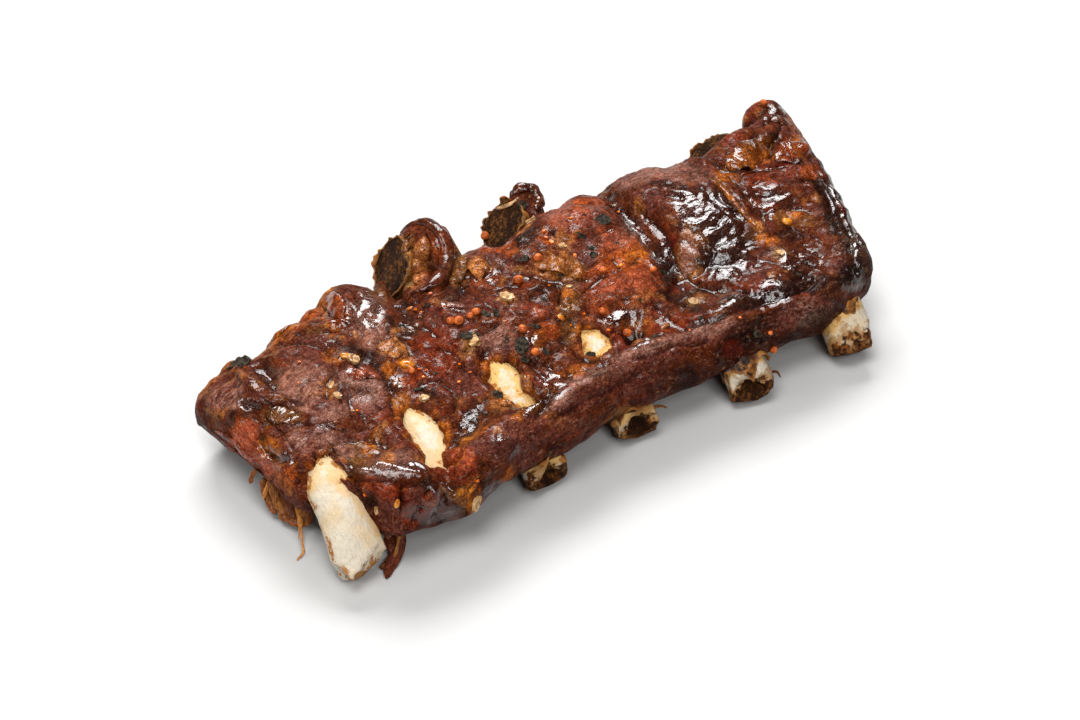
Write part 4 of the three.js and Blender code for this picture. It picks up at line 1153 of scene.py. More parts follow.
def glazed_bark():
    material, tree, shader = start_finish("glazed_bark")
    tone = share_of(tree, "tone", "Color")
    drift = where(tree, wander=3.0)
    mottle = ramp(tree, cloud(tree, drift, 3.2, 4.0, 0.65), MOTTLE)
    tone = blend(tree, 0.9, tone, mottle, "MULTIPLY")
    streak = cloud(tree, where(tree, stretch=(2.0, 0.8, 1), shift=0.6, wander=2.0), 4, 4.0, 0.6)
    calm = step(tree, share_of(tree, "lip"), 0.0, 1.0, 1.0, 0.3)
    amber_share = times(tree, step(tree, streak, 0.56, 0.68, 0.0, 0.34), calm)
    tone = blend(tree, amber_share, tone, GLAZE_AMBER)
    fat = cloud(tree, where(tree, shift=0.9, wander=2.0), 2.6, 4.0, 0.7)
    fat_share = times(tree, step(tree, fat, 0.64, 0.74, 0.0, 0.36), calm)
    tone = blend(tree, fat_share, tone, FAT_TAN)
    folded = fold(tree, where(tree, stretch=(1.0, 0.75, 1), wander=1.5), 2.2, 3.0)
    creased = fold(tree, where(tree, shift=0.5, wander=0.6), 0.9, 2.0)
    # The valleys of the two fold patterns are painted darker as shade.
    fold_shade = times(tree, step(tree, folded, 0.42, 0.0), 0.72)
    tone = blend(tree, fold_shade, tone, FOLD_SHADE, "MULTIPLY")
    crease_shade = times(tree, step(tree, creased, 0.38, 0.0), 0.6)
    tone = blend(tree, crease_shade, tone, FOLD_SHADE, "MULTIPLY")
    # Pale fibre streaks on dry patches, which also stand in for a painted dry sheen.
    dry_patch = step(tree, cloud(tree, where(tree, shift=2.9), 8, 3.0), 0.42, 0.62, 0.08, 0.4)
    fibres = cloud(tree, where(tree, stretch=(0.6, 1.4, 1), wander=2.0), 1.0, 4.0, 0.7)
    crest = times(tree, step(tree, fibres, 0.52, 0.7), dry_patch)
    tone = blend(tree, crest, tone, FIBRE_AND_SHEEN_PALE)
    # A pale sheen is painted in broken streaks where the mesh's sheen share says.
    sheeny = cloud(tree, where(tree, stretch=(1.0, 2.0, 1), shift=3.3, wander=3.0), 1.5, 4.0, 0.72)
    broken = step(tree, cloud(tree, where(tree, shift=4.4, wander=3.0), 6, 4.0, 0.6), 0.38, 0.62, 0.25, 1.0)
    painted_sheen_share = times(tree, share_of(tree, "painted_sheen"), broken)
    painted_sheen = times(tree, painted_sheen_share, step(tree, sheeny, 0.44, 0.66, 0.0, 0.62))
    tone = blend(tree, painted_sheen, tone, PAINTED_SHEEN_PALE)
    # Shade is painted dark into the small folds that the hollow share marks.
    tone = blend(tree, times(tree, share_of(tree, "hollow"), 0.6), tone, SHADE_AND_WET_DARK)
    pores = ramp(tree, cloud(tree, where(tree, shift=6.2), 0.7, 3.0, 0.75), PORES)
    tone = blend(tree, 0.8, tone, pores, "MULTIPLY")
    rub = cloud(tree, where(tree, shift=1.3), 1.3, 3.0, 0.7)
    tone = blend(tree, step(tree, rub, 0.61, 0.68, 0.0, 0.75), tone, RUB_DARK)
    pooled = times(tree, share_of(tree, "pool"), 0.6)
    wet = calc(tree, "MAXIMUM", share_of(tree, "wet"), pooled)
    tone = blend(tree, times(tree, wet, 0.38), tone, SHADE_AND_WET_DARK)
    damp = step(tree, cloud(tree, where(tree, shift=0.2), 6, 3.0), 0.35, 0.65, 0.55, 0.38)
    glaze = step(tree, cloud(tree, where(tree, shift=2.1), 3, 4.0, 0.65), 0.5, 0.64, 0.02, 0.26)
    feed(tree, shader, {
        "Base Color": tone, "Roughness": blend(tree, wet, damp, WET_ROUGHNESS),
        "Coat Weight": blend(tree, wet, glaze, (1, 1, 1, 1)), "Coat Roughness": 0.05,
        "Specular IOR Level": 0.03})
    let_light_in(tree, shader, 0.04, (1.0, 0.3, 0.12), 2.0)
    rough_share = step(tree, share_of(tree, "smooth"), 0.0, 1.0, 1.0, 0.75)
    lively = times(tree, rough_share, blend(tree, wet, DRY_RELIEF, (1, 1, 1, 1)))
    dimples = times(tree, cloud(tree, where(tree, shift=5.1, wander=1.0), 1.5, 3.0, 0.65), lively)
    crinkles = times(tree, creased, lively)
    threads = cloud(tree, where(tree, stretch=(0.5, 2.6, 1), wander=1.2), 0.8, 2.0)
    grains = cloud(tree, where(tree, shift=1.7), 0.75, 2.0, 0.6)
    bumps(tree, shader, [(dimples, 0.52), (crinkles, 0.3), (threads, 0.14), (grains, 0.5)])
    ripples = cloud(tree, where(tree, shift=7.3, wander=0.8), 1.25, 1.7, 0.5)
    bumps(tree, shader, [(ripples, 0.15), (crinkles, 0.02)], "Coat Normal")
    return material


bark = glazed_bark()
meat.data.materials.append(bark)
print("bark nodes:", len(bark.node_tree.nodes))

# %% [markdown]
# ## Rib bones
# A rib is a flattened tube that roasting dries out. Its tip was snapped or sawn, so it ends in a few
# flat breaks with a rough edge, and its head ends in a saw cut through spongy bone. The oval section
# is carried along the course, and the breaks are planes that the points are pressed back to.

# %% Measures of the bones
# Numbers of points round and along
BONE_SIDES = 56
BONE_RINGS = 150
HEAD_SIDES = 64
HEAD_RINGS = 44
# Rounding of both ends in mm, and how the section swells at the tip and shrinks at the head
TIP_ROUND = 1.6
HEAD_ROUND = 4.5
ROUND_POWER = 2.6
TIP_SWELL = 0.1
TIP_SWELL_REACH = 0.07
HEAD_SHRINK = 0.4
HEAD_SHRINK_FROM = 0.86
SECTION_POWER = 0.82
# Breaks, the hollow that the marrow leaves, and the depth of a saw cut as a share of the head
BREAK_REACH = 16
HOLLOW_RIM = 0.78
HOLLOW_EDGE = 0.16
HOLLOW_DEPTH = 2.6
SAW_DEPTH = 0.28
# Distances in mm, and the angle that is left out at the poles of a head
FAR_FROM_TIP = 60
FLOOR_GAP = 0.02
POLE = 0.02
FLAKY = [(0.16, 3.4, 24), (0.1, 1.5, 25)]
print("points on the skin of a bone:", BONE_SIDES * BONE_RINGS)

# %% Breaks at the tips
CLEAN_BONES = ("rib_bone_1", "rib_bone_2")
# (distance out from the tip's middle in mm, direction as along, sideways and up)
BREAKS = {
    "rib_bone_1": [(-1.1, (0.86, 0.51, 0)), (4.1, (0.43, -0.9, 0)), (0.7, (0.57, 0.39, 0.72))],
    "rib_bone_2": [(1.0, (1, 0.2, 0.2))],
    "rib_bone_3": [(0.4, (0.45, 0.25, 0.86)), (4.4, (0.5, -0.7, 0.4)), (1.2, (0.96, 0.2, 0))],
    "rib_bone_4": [(0.2, (0.42, 0.1, 0.9)), (4.2, (0.4, 0.8, 0.4)), (1.0, (0.9, -0.4, 0))],
    "rib_bone_5": [(0.3, (0.42, -0.15, 0.89)), (3.2, (0.5, 0.8, 0.3)), (0.8, (0.93, -0.3, 0))],
    "rib_bone_6": [(3.6, (0.5, 0.1, 0.86)), (4.2, (0.2, 0.95, 0.2)), (1.2, (0.95, -0.3, 0))],
}
print("flats broken off all tips:", sum(map(len, BREAKS.values())))

# %% The skin of a bone
def bone_frames(bone):
    even = np.linspace(0, 1, BONE_RINGS)
    place = even**1.7 * 0.5 + even * 0.5
    centre = bone_centre(bone, place)
    run = np.concatenate([[0], np.cumsum(np.linalg.norm(np.diff(centre, axis=0), axis=1))])
    ahead = unit(np.gradient(centre, axis=0))
    side = unit(np.cross(ahead, (0, 0, 1)))
    return place, run, centre, ahead, side, np.cross(side, ahead)


def squarish(values):
    return np.sign(values) * np.abs(values) ** SECTION_POWER


def bone_skin(name):
    bone = BONES[name]
    place, run, centre, ahead, side, up = bone_frames(bone)
    near_end = np.minimum(run / TIP_ROUND, (run[-1] - run) / HEAD_ROUND)
    taper = (1 - np.clip(1 - near_end, 0, 1) ** ROUND_POWER) ** (1 / ROUND_POWER)
    swell = 1 + TIP_SWELL * bell(place / TIP_SWELL_REACH)
    flare = swell * (1 - HEAD_SHRINK * smooth(HEAD_SHRINK_FROM, 1, place))
    size = np.clip(taper, 0.05, 1) * flare
    angle = np.arange(BONE_SIDES) / BONE_SIDES * 2 * np.pi
    across = squarish(np.cos(angle)) * bone["width"] / 2
    rise = squarish(np.sin(angle)) * bone["thick"] / 2
    section = side[:, None] * across[:, None] + up[:, None] * rise[:, None]
    skin = centre[:, None] + size[:, None, None] * section
    skin = skin + (skin - centre[:, None]) * 0.05 * fine_noise(skin, 9, seed=21)[..., None]
    skin = skin + unit(skin - centre[:, None]) * folds(skin, *FLAKY)[..., None]
    marrow = np.zeros(skin.shape[:2])
    for out, (a, s, u) in BREAKS[name]:
        facing = unit(-a * ahead[0] + s * side[0] + u * up[0])
        rough = wobble(0, skin, (1.1, 3.6, 22), (0.5, 1.2, 23))
        over = (skin - centre[0]) @ facing - out - rough
        over = np.where((run < BREAK_REACH)[:, None], np.maximum(over, 0), 0)
        skin = skin - over[..., None] * facing
        if name not in CLEAN_BONES and u > a:
            from_axis = skin - centre[:, None]
            sideways = (from_axis * side[:, None]).sum(-1) / bone["width"] * 2
            upwards = (from_axis * up[:, None]).sum(-1) / bone["thick"] * 2
            ragged = 0.22 * fine_noise(skin, 2.6, seed=26)
            inner = smooth(HOLLOW_RIM, HOLLOW_RIM - HOLLOW_EDGE, np.hypot(sideways, upwards) + ragged)
            inner = inner * smooth(0.0, 0.3, over)
            sunk = HOLLOW_DEPTH * inner * smooth(0.1, 1.2, run)[:, None]
            skin = skin - sunk[..., None] * facing
            marrow = np.maximum(marrow, inner)
    skin[..., 2] = np.maximum(skin[..., 2], FLOOR_GAP)
    tip = np.broadcast_to(run[:, None], marrow.shape)
    edge = np.abs(np.broadcast_to(np.cos(angle), marrow.shape))
    head = np.broadcast_to(smooth(0.8, 0.9, place)[:, None], marrow.shape)
    return skin, {"marrow": marrow, "tip": tip, "edge": edge, "cut": 0 * marrow, "head": head}


bare_bone, _ = bone_skin("rib_bone_1")
print("the bare bone spans", np.ptp(bare_bone, axis=(0, 1)).round(1), "mm")

# %% [markdown]
# ## Sawn heads
# A head is a knobbly ball at the back end of a bone. Where a saw went through it, the points beyond
# the cut are pressed back to a flat, pitted face.

# %% Sawn heads
def sawn_head(name):
    bone = BONES[name]
    centre = np.array(bone["head"]) + (HEAD_OFFSET if bone["saw"] else 0)
    latitude = np.linspace(POLE, np.pi - POLE, HEAD_RINGS)[:, None]
    longitude = np.arange(HEAD_SIDES) / HEAD_SIDES * 2 * np.pi
    circle = (np.cos(longitude), np.sin(longitude))
    ball = [np.sin(latitude) * circle[0], np.sin(latitude) * circle[1], np.cos(latitude) + 0 * longitude]
    ball = np.stack(ball, -1)
    skin = centre + ball * bone["head_size"] * (1 + 0.07 * fine_noise(ball * 10, 7, seed=31))[..., None]
    cut = np.zeros(skin.shape[:2])
    if bone["saw"]:
        facing = unit(bone["saw"])
        reach = min(bone["head_size"]) * (1 - 2 * SAW_DEPTH)
        spongy = 0.45 * np.abs(fine_noise(skin, 1.8, seed=32)) + 0.3 * fine_noise(skin, 5, seed=33)
        over = (skin - centre) @ facing - reach
        cut = smooth(0, 0.8, over)
        skin = skin - np.where(over > 0, over + spongy, 0)[..., None] * facing
    zero = np.zeros_like(cut)
    shares = {"marrow": zero, "tip": zero + FAR_FROM_TIP, "edge": zero, "cut": cut, "head": 1 - cut}
    return skin, shares


def join_skins(parts, faces_of=skin_faces):
    verts, faces, shares, count = [], [], {}, 0
    for skin, share in parts:
        rings, sides = skin.shape[:2]
        faces += [[i + count for i in face] for face in faces_of(rings, sides)]
        verts.append(skin.reshape(-1, 3))
        count += rings * sides
        for kind, values in share.items():
            shares.setdefault(kind, []).append(np.asarray(values).ravel())
    shares = {kind: np.concatenate(values) for kind, values in shares.items()}
    return np.concatenate(verts), faces, shares


head, _ = sawn_head("rib_bone_3")
print("the largest sawn head spans", np.ptp(head, axis=(0, 1)).round(1), "mm")

# %% [markdown]
# ## Dry bone
# Clean roasted bone is cream with faint grey flecks along it. Juice has run down its sides and
# caramelised at the broken edges, bone turns brown and black towards a burnt tip, and the sawn heads
# show dark spongy marrow.

# %% Tones of bone
BONE_CREAM = srgb(194, 184, 166)
BONE_WARM = srgb(196, 172, 135)
BONE_GREY = srgb(158, 136, 116)
BONE_OCHRE = srgb(202, 156, 84)
BONE_AGED = srgb(150, 112, 68)
CARAMEL = srgb(152, 96, 42)
SCORCH = srgb(34, 17, 9)
CRUST_BROWN = srgb(112, 64, 26)
MARROW = srgb(38, 20, 9)
MARROW_GOLD = srgb(118, 72, 32)
GRISTLE_DARK = srgb(44, 23, 10)
GRISTLE_GOLD = srgb(150, 92, 36)
print("clean bone in linear light:", [round(c, 2) for c in BONE_CREAM[:3]])

# %% Dry bone
def dry_bone(name, staining, burning, gilding, roughening):
    material, tree, shader = start_finish(name)
    place = where(tree, wander=1.5)
    warmth = step(tree, cloud(tree, place, 9, 3.0), 0.42, 0.66, 0.0, 0.75)
    tone = blend(tree, warmth, BONE_CREAM, BONE_WARM)
    lengthways = where(tree, stretch=(2.4, 0.7, 1))
    flecks = step(tree, cloud(tree, lengthways, 1.1, 4.0, 0.8), 0.5, 0.7, 0.0, 0.62)
    tone = blend(tree, flecks, tone, BONE_GREY)
    blotch = cloud(tree, where(tree, shift=0.4, wander=2.5), 4.5, 5.0, 0.65)
    near_break = step(tree, share_of(tree, "tip"), 0.0, 11.0, 1.0, 0.0)
    sides = step(tree, share_of(tree, "edge"), 0.75, 1.0)
    reach = calc(tree, "MAXIMUM", near_break, times(tree, sides, 0.85))
    by_meat = share_of(tree, "by_meat")
    juice = add_up(tree, times(tree, by_meat, 0.5), cloud(tree, place, 2.6, 4.0, 0.7))
    ochre = step(tree, juice, 0.62, 0.86)
    tone = blend(tree, times(tree, ochre, gilding), tone, BONE_OCHRE)
    reach = calc(tree, "MAXIMUM", times(tree, reach, staining), times(tree, by_meat, 0.62))
    stain = step(tree, blotch, 0.36, 0.64, 0.0, 0.7)
    tone = blend(tree, step(tree, add_up(tree, reach, stain), 1.0, 1.2), tone, CARAMEL)
    worn = times(tree, step(tree, share_of(tree, "tip"), 0.0, 18.0, 1.0, 0.0), burning)
    worn = add_up(tree, worn, step(tree, blotch, 0.4, 0.6, 0.0, 0.5))
    aged = step(tree, worn, 0.6, 1.0, 0.0, 0.85)
    tone = blend(tree, aged, tone, BONE_AGED)
    char = step(tree, cloud(tree, where(tree, shift=1.9, wander=2.5), 3.4, 5.0, 0.7), 0.38, 0.62, 0.0, 0.6)
    burnt = add_up(tree, times(tree, near_break, burning), char)
    crusty = blend(tree, step(tree, cloud(tree, place, 1.4, 4.0, 0.7), 0.42, 0.62), SCORCH, CRUST_BROWN)
    tone = blend(tree, step(tree, burnt, 0.78, 0.96), tone, crusty)
    knobbly = step(tree, cloud(tree, where(tree, wander=1.5), 2.8, 5.0, 0.7), 0.36, 0.66)
    tone = blend(tree, share_of(tree, "head"), tone, blend(tree, knobbly, GRISTLE_DARK, GRISTLE_GOLD))
    sponge = step(tree, cloud(tree, where(tree), 1.3, 3.0, 0.7), 0.42, 0.7)
    spongy = calc(tree, "MAXIMUM", share_of(tree, "cut"), share_of(tree, "marrow"))
    charred = step(tree, cloud(tree, where(tree, shift=1.1), 6, 3.0, 0.6), 0.46, 0.6)
    marrow = blend(tree, charred, blend(tree, sponge, MARROW, MARROW_GOLD), MARROW)
    tone = blend(tree, spongy, tone, marrow)
    rough = step(tree, cloud(tree, place, 5, 2.0), 0.3, 0.7, 0.4, 0.6)
    feed(tree, shader, {"Base Color": tone, "Roughness": rough, "Specular IOR Level": 0.05})
    let_light_in(tree, shader, 0.12, (1.0, 0.7, 0.4), 2.0)
    grain = cloud(tree, where(tree, stretch=(2.6, 0.6, 1)), 1.4, 3.0, 0.6)
    pores = cloud(tree, where(tree), 0.6, 2.0, 0.6)
    pits = times(tree, sponge, spongy)
    lumps = times(tree, knobbly, share_of(tree, "head"))
    bumps(tree, shader, [(grain, roughening), (pores, 0.2), (pits, 0.5), (lumps, 0.7)])
    return material


clean_bone = dry_bone("clean_bone", staining=0.72, burning=0.3, gilding=0.5, roughening=0.4)
burnt_bone = dry_bone("burnt_bone", staining=0.9, burning=0.9, gilding=0.85, roughening=0.65)
print("nodes in the finish of a bone:", len(clean_bone.node_tree.nodes))

# %% Dress the bones
def gap_to_meat(skin):
    flat = ((skin.reshape(-1, 3) - BOX_MIDDLE) * MM).tolist()
    gaps = np.fromiter((meat_tree.find_nearest(spot)[3] for spot in flat), float, len(flat))
    return gaps.reshape(skin.shape[:2]) / MM


bones = {}
for bone_name in BONES:
    parts = [bone_skin(bone_name), sawn_head(bone_name)]
    for skin, part_shares in parts:
        part_shares["by_meat"] = smooth(4.2, 0.3, gap_to_meat(skin))
    bone_finish = clean_bone if bone_name in CLEAN_BONES else burnt_bone
    verts, faces, bone_shares = join_skins(parts)
    bones[bone_name] = new_piece(bone_name + "_dressed", verts, faces, bone_finish, bone_shares)
print("faces of one bone:", len(bones["rib_bone_1"].data.polygons))

# %% [markdown]
# ## Torn skin at the bone ends
# Where the tips were cut, the thin skin round each bone tore and shrank back, and its edge browned
# into a ragged sleeve. A sleeve is a loop that is carried once round the bone: its outer side follows
# the bone, and its edge reaches out by a different amount at every angle. The rim of a sawn head is
# such a loop too, round the cut.

# %% Sleeves
def loop_faces(turns, sides):
    i, j = np.meshgrid(np.arange(turns), np.arange(sides), indexing="ij")
    a, b = i * sides + j, i * sides + (j + 1) % sides
    c, d = (i + 1) % turns * sides + j, (i + 1) % turns * sides + (j + 1) % sides
    return np.stack([a, c, d, b], -1).reshape(-1, 4).tolist()


def close_loop(layers, share):
    skin = np.concatenate([layers[0], layers[1][:, ::-1]], 1)
    rim = np.concatenate([share, share[::-1]])
    return skin, {"rim": np.broadcast_to(rim, skin.shape[:2])}


def torn_sleeve(name, back, front, flare, seed, turns=150, depth=16):
    bone = BONES[name]
    _, run, centre, _, side, up = bone_frames(bone)
    angle = np.arange(turns) / turns * 2 * np.pi
    round_place = np.stack([6 * np.cos(angle), 6 * np.sin(angle), 0 * angle], -1)
    edge = wobble(front, round_place, (7, 5, seed), (1.5, 1.6, seed + 1))
    share = np.linspace(0, 1, depth)
    reach = mix(back, np.minimum(edge, back - 0.5)[:, None], share)
    spread = flare * np.maximum(0, wobble(0.3, round_place, (1.6, 3.4, seed + 2)))[:, None] * share**2.2
    lines = [[np.interp(reach, run, line[:, k]) for k in range(3)] for line in (centre, side, up)]
    middle, sideways, upwards = (np.stack(line, -1) for line in lines)
    layers = []
    for lift in (0.75, 0.1):
        thick = 0.15 + lift * (1 - 0.8 * share**3)
        across = (bone["width"] / 2 + thick + spread) * np.cos(angle)[:, None]
        rise = (bone["thick"] / 2 + thick + spread) * np.sin(angle)[:, None]
        layers.append(middle + across[..., None] * sideways + rise[..., None] * upwards)
    skin, shares = close_loop(layers, share)
    skin = skin + 0.35 * fine_noise(skin, 2.2, seed + 3)[..., None] * unit(skin - skin.mean((0, 1)))
    skin[..., 2] = np.maximum(skin[..., 2], FLOOR_GAP)
    return skin, shares


# (bone, back edge and front edge along the bone in mm, flare in mm, seed)
SLEEVES = [
    ("rib_bone_3", 14, 9.0, 2.0, 61), ("rib_bone_4", 15, 9.0, 2.6, 66), ("rib_bone_5", 16, 10.5, 2.4, 70),
    ("rib_bone_6", 15, 12.0, 1.8, 74),
]
print("sleeves:", len(SLEEVES))


# %% Rims of the sawn heads
def torn_rim(name, seed, turns=140, depth=9):
    bone = BONES[name]
    middle = np.array(bone["head"]) + HEAD_OFFSET
    facing = unit(bone["saw"])
    reach = min(bone["head_size"]) * (1 - 2 * SAW_DEPTH)
    one = unit(np.cross(facing, (0, 0, 1)))
    two = np.cross(one, facing)
    angle = np.arange(turns) / turns * 2 * np.pi
    out = np.cos(angle)[:, None] * one + np.sin(angle)[:, None] * two
    q, d = facing * reach / bone["head_size"], out / bone["head_size"]
    a, b, c = (d * d).sum(-1), (q * d).sum(-1), (q * q).sum(-1) - 1
    radius = (-b + np.sqrt(b * b - a * c)) / a
    ragged = wobble(0, out * 9, (1.1, 4, seed), (0.7, 1.5, seed + 1))
    share = np.linspace(0, 1, depth)
    ahead = mix(-2.6, 0.3 + np.maximum(ragged, -0.2)[:, None] * 1.6, share)
    layers = []
    for lift in (0.7, -0.1):
        wide = radius[:, None] + lift * (1 - 0.7 * share**2) - 0.9 * (1 - share) ** 2
        wide = wide + 0.9 * ragged[:, None] * share**2
        layers.append(middle + facing * (reach + ahead[..., None]) + out[:, None] * wide[..., None])
    skin, shares = close_loop(layers, share)
    return skin + 0.3 * fine_noise(skin, 1.6, seed + 2)[..., None] * facing, shares


RIMS = [("rib_bone_3", 81), ("rib_bone_4", 84), ("rib_bone_6", 87)]
print("rims:", len(RIMS))

# %% [markdown]
# ## Browned skin
# Thin skin goes from golden, where the light comes through its edge, to nearly black where it burnt.
# It is a little glossy, because the juice dried on it.

# %% Browned skin
SKIN_BROWN = srgb(70, 38, 20)
SKIN_GOLD = srgb(150, 98, 46)
SKIN_BLACK = srgb(24, 14, 10)


def browned_skin():
    material, tree, shader = start_finish("browned_skin")
    patch = cloud(tree, where(tree, wander=2.0), 4.5, 4.0, 0.65)
    tone = blend(tree, step(tree, patch, 0.42, 0.6), SKIN_BROWN, SKIN_GOLD)
    burnt = step(tree, cloud(tree, where(tree, shift=0.7, wander=2.0), 5.5, 4.0, 0.65), 0.5, 0.6)
    tone = blend(tree, burnt, tone, SKIN_BLACK)
    gold_edge = times(tree, step(tree, share_of(tree, "rim"), 0.8, 1.0), 0.55)
    tone = blend(tree, gold_edge, tone, SKIN_GOLD)
    feed(tree, shader, {"Base Color": tone, "Roughness": 0.36, "Specular IOR Level": 0.15})
    let_light_in(tree, shader, 0.15, (1.0, 0.45, 0.15), 1.5)
    bumps(tree, shader, [(cloud(tree, where(tree, stretch=(2, 1, 1)), 1.4, 3.0, 0.6), 0.25)])
    return material


skin_finish = browned_skin()
verts, faces, rim_shares = join_skins([torn_sleeve(*row) for row in SLEEVES], loop_faces)
sleeves = new_piece("tip_sleeves", verts, faces, skin_finish, rim_shares)
verts, faces, rim_shares = join_skins([torn_rim(*row) for row in RIMS], loop_faces)
rims = new_piece("head_rims", verts, faces, skin_finish, rim_shares)
print("sleeve and rim faces:", len(sleeves.data.polygons), len(rims.data.polygons))

# %% [markdown]
# ## Where things land on the crust
# Rolls of tissue, seeds and flakes lie on the crust, so each needs a point of the surface and the way
# it faces. A ray from the camera through a place in the picture finds both, on the meat or on a bone.

# %% Surface points
crust_tree = surface_tree(meat, *bones.values())


def ray_in_view(u, v):
    return (u - PICTURE[0] / 2) / FOCUS, (PICTURE[1] / 2 - v) / FOCUS, -1.0


def seen_at(u, v):
    ray = (Matrix(VIEW_TURN.tolist()) @ Vector(ray_in_view(u, v))).normalized()
    hit, facing, _, _ = crust_tree.ray_cast(Vector(VIEW_FROM), ray)
    return hit, facing


crust_middle = seen_at(PICTURE[0] / 2, PICTURE[1] / 2)[0]
print("the crust at the middle of the picture:", [round(c / MM, 1) for c in crust_middle])

# %% [markdown]
# ## Rolls and lumps of tissue
# Round a sawn head the tissue curls up in rolls, and lumps of fat, gristle and tendon stand out of the
# crust. The loft is too coarse to carry them, so each one is a soft tube of its own that lies on the
# crust along a few points, half sunk, and tapers into it at both ends.

# %% Rolls
# (width in mm, thickness in mm, wetness, tone, points in the picture)
ROLLS = [
    (6.0, 4.4, 0.3, "tan", [(425, 236), (421, 259), (416, 284)]),
    (2.6, 2.2, 0.2, "olive", [(409, 236), (406, 248), (408, 263)]),
    (4.6, 3.4, 0.6, "brown", [(398, 235), (409, 226), (424, 222), (439, 231), (447, 247), (446, 265),
        (439, 279), (426, 288), (410, 293)]),
    (5.0, 3.0, 0.3, "olive", [(454, 240), (462, 250), (463, 263), (459, 276), (450, 285)]),
    (4.6, 3.4, 0.8, "brown", [(512, 194), (522, 188), (534, 191), (540, 200), (536, 210)]),
    (1.4, 1.2, 0.1, "cream", [(493, 208), (501, 208), (511, 204), (519, 197)]),
    (5.0, 1.4, 0.1, "tan", [(472, 256), (477, 268), (480, 281)]),
    (9.0, 1.0, 0.2, "tan", [(534, 266), (552, 263), (568, 267), (582, 276)]),
    (4.0, 1.2, 0.4, "mauve", [(447, 306), (456, 305), (466, 308)]),
    (3.0, 2.0, 0.5, "tan", [(521, 374), (527, 384), (531, 393)]),
    (10.0, 2.6, 0.8, "amber", [(726, 168), (741, 160), (757, 154), (771, 152)]),
    (9.0, 2.6, 0.8, "orange", [(774, 160), (787, 154), (799, 152), (806, 159)]),
    (6.0, 3.2, 0.6, "brown", [(762, 124), (775, 120), (788, 124)]),
    (1.8, 1.1, 0.5, "amber", [(709, 178), (723, 190), (736, 205), (748, 218), (757, 228)]),
    (6.0, 1.2, 0.4, "mauve", [(683, 240), (689, 260), (685, 278)]),
    (1.6, 1.2, 0.9, "brown", [(740, 175), (756, 172), (772, 170), (790, 166)]),
    (4.0, 1.0, 0.3, "plum", [(243, 376), (261, 390), (279, 402), (295, 406)]),
    (7.0, 1.4, 0.8, "olive", [(266, 412), (284, 417), (300, 421)]),
    (8.0, 1.4, 0.2, "tan", [(377, 346), (393, 348), (409, 353)]),
    (6.0, 2.0, 0.6, "orange", [(327, 296), (337, 305), (342, 318)]),
    (5.0, 1.2, 0.5, "salmon", [(350, 378), (366, 373), (382, 379)]),
    (2.6, 1.2, 0.2, "tan", [(500, 403), (508, 404), (516, 408)]),
    (3.4, 1.3, 0.4, "olive", [(560, 318), (566, 308), (569, 296)]),
    (1.6, 1.1, 0.4, "amber", [(311, 303), (299, 317), (283, 331), (265, 345)]),
    (2.4, 1.3, 0.5, "salmon", [(214, 430), (232, 440), (246, 455), (262, 466)]),
]


def curve_through(knots, count):
    knots = np.asarray(knots, float)
    t = np.linspace(0, len(knots) - 1, count)
    padded = np.vstack([2 * knots[0] - knots[1], knots, 2 * knots[-1] - knots[-2]])
    i = np.minimum(t.astype(int), len(knots) - 2)
    return spline(*(padded[i + k] for k in range(4)), (t - i)[:, None])


def settle(values, times=3):
    for _ in range(times):
        values = np.vstack([values[:1], (values[:-2] + 2 * values[1:-1] + values[2:]) / 4, values[-1:]])
    return values


def path_on_crust(line, count):
    found = [seen_at(u, v) for u, v in curve_through(line, count)]
    found = [pair for pair in found if pair[0] is not None]
    path = np.array([tuple(hit) for hit, _ in found]) / MM + BOX_MIDDLE
    return settle(path), unit(settle(np.array([tuple(facing) for _, facing in found]), 8))


def roll(width, thick, wetness, tone, line, seed, rings=64, sides=22):
    path, facing = path_on_crust(line, rings)
    ahead = unit(np.gradient(path, axis=0))
    side = unit(np.cross(ahead, facing))
    up = np.cross(side, ahead)
    angle = np.arange(sides) / sides * 2 * np.pi
    along = np.linspace(0, 1, len(path))
    taper = np.sin(np.pi * np.clip(along, 0.01, 0.99)) ** 0.55 * (1 + 0.3 * fine_noise(path, 4, seed))
    across = (taper * width / 2)[:, None] * np.cos(angle)
    rise = (taper * thick / 2)[:, None] * np.sin(angle)
    skin = path[:, None] + across[..., None] * side[:, None] + rise[..., None] * up[:, None]
    skin = skin + (folds(skin, (0.3, 2.6, seed + 1)) * taper[:, None])[..., None] * up[:, None]
    shade = wobble(1, skin, (0.45, 3, seed + 2), (0.3, 1.2, seed + 3))
    full = np.ones(skin.shape[:2])
    crust = painted_tones(skin, np.broadcast_to(facing[:, None], skin.shape))
    crest = 0.9 * smooth(0.0, 0.75, np.sin(angle)) * full * smooth(0, 0.2, along * (1 - along) * 4)[:, None]
    crest = crest * (0.85 + 0.4 * fine_noise(skin, 4, seed + 4))
    # The underside of a roll, where it sinks into the crust, is given the hollow share, so that shade is
    # painted there.
    sunk = smooth(0.15, -0.4, np.sin(angle)) * full
    tones = mix(crust, tone_of(tone), crest[..., None]) * shade[..., None]
    shares = {"wet": wetness * full, "smooth": 0.6 * full, "pool": 0 * full, "hollow": sunk}
    return skin, shares | {"tone": tones}


verts, faces, roll_shares = join_skins([roll(*row, seed=200 + 5 * n) for n, row in enumerate(ROLLS)])
roll_tones = roll_shares.pop("tone").reshape(-1, 3)
rolls = new_piece("tissue_rolls", verts, faces, bark, roll_shares, roll_tones)
print("rolls:", len(ROLLS), "with", len(rolls.data.polygons), "faces")

# %% [markdown]
# ## Shreds
# Slow cooking lets fibres of meat come away. They hang from the underside of the lip, thin as thread
# or wide as a ribbon. Each is a short tube along a few points, flattened, and tapered to its end.
# The points are given by where they show in the picture and by their height above the floor.

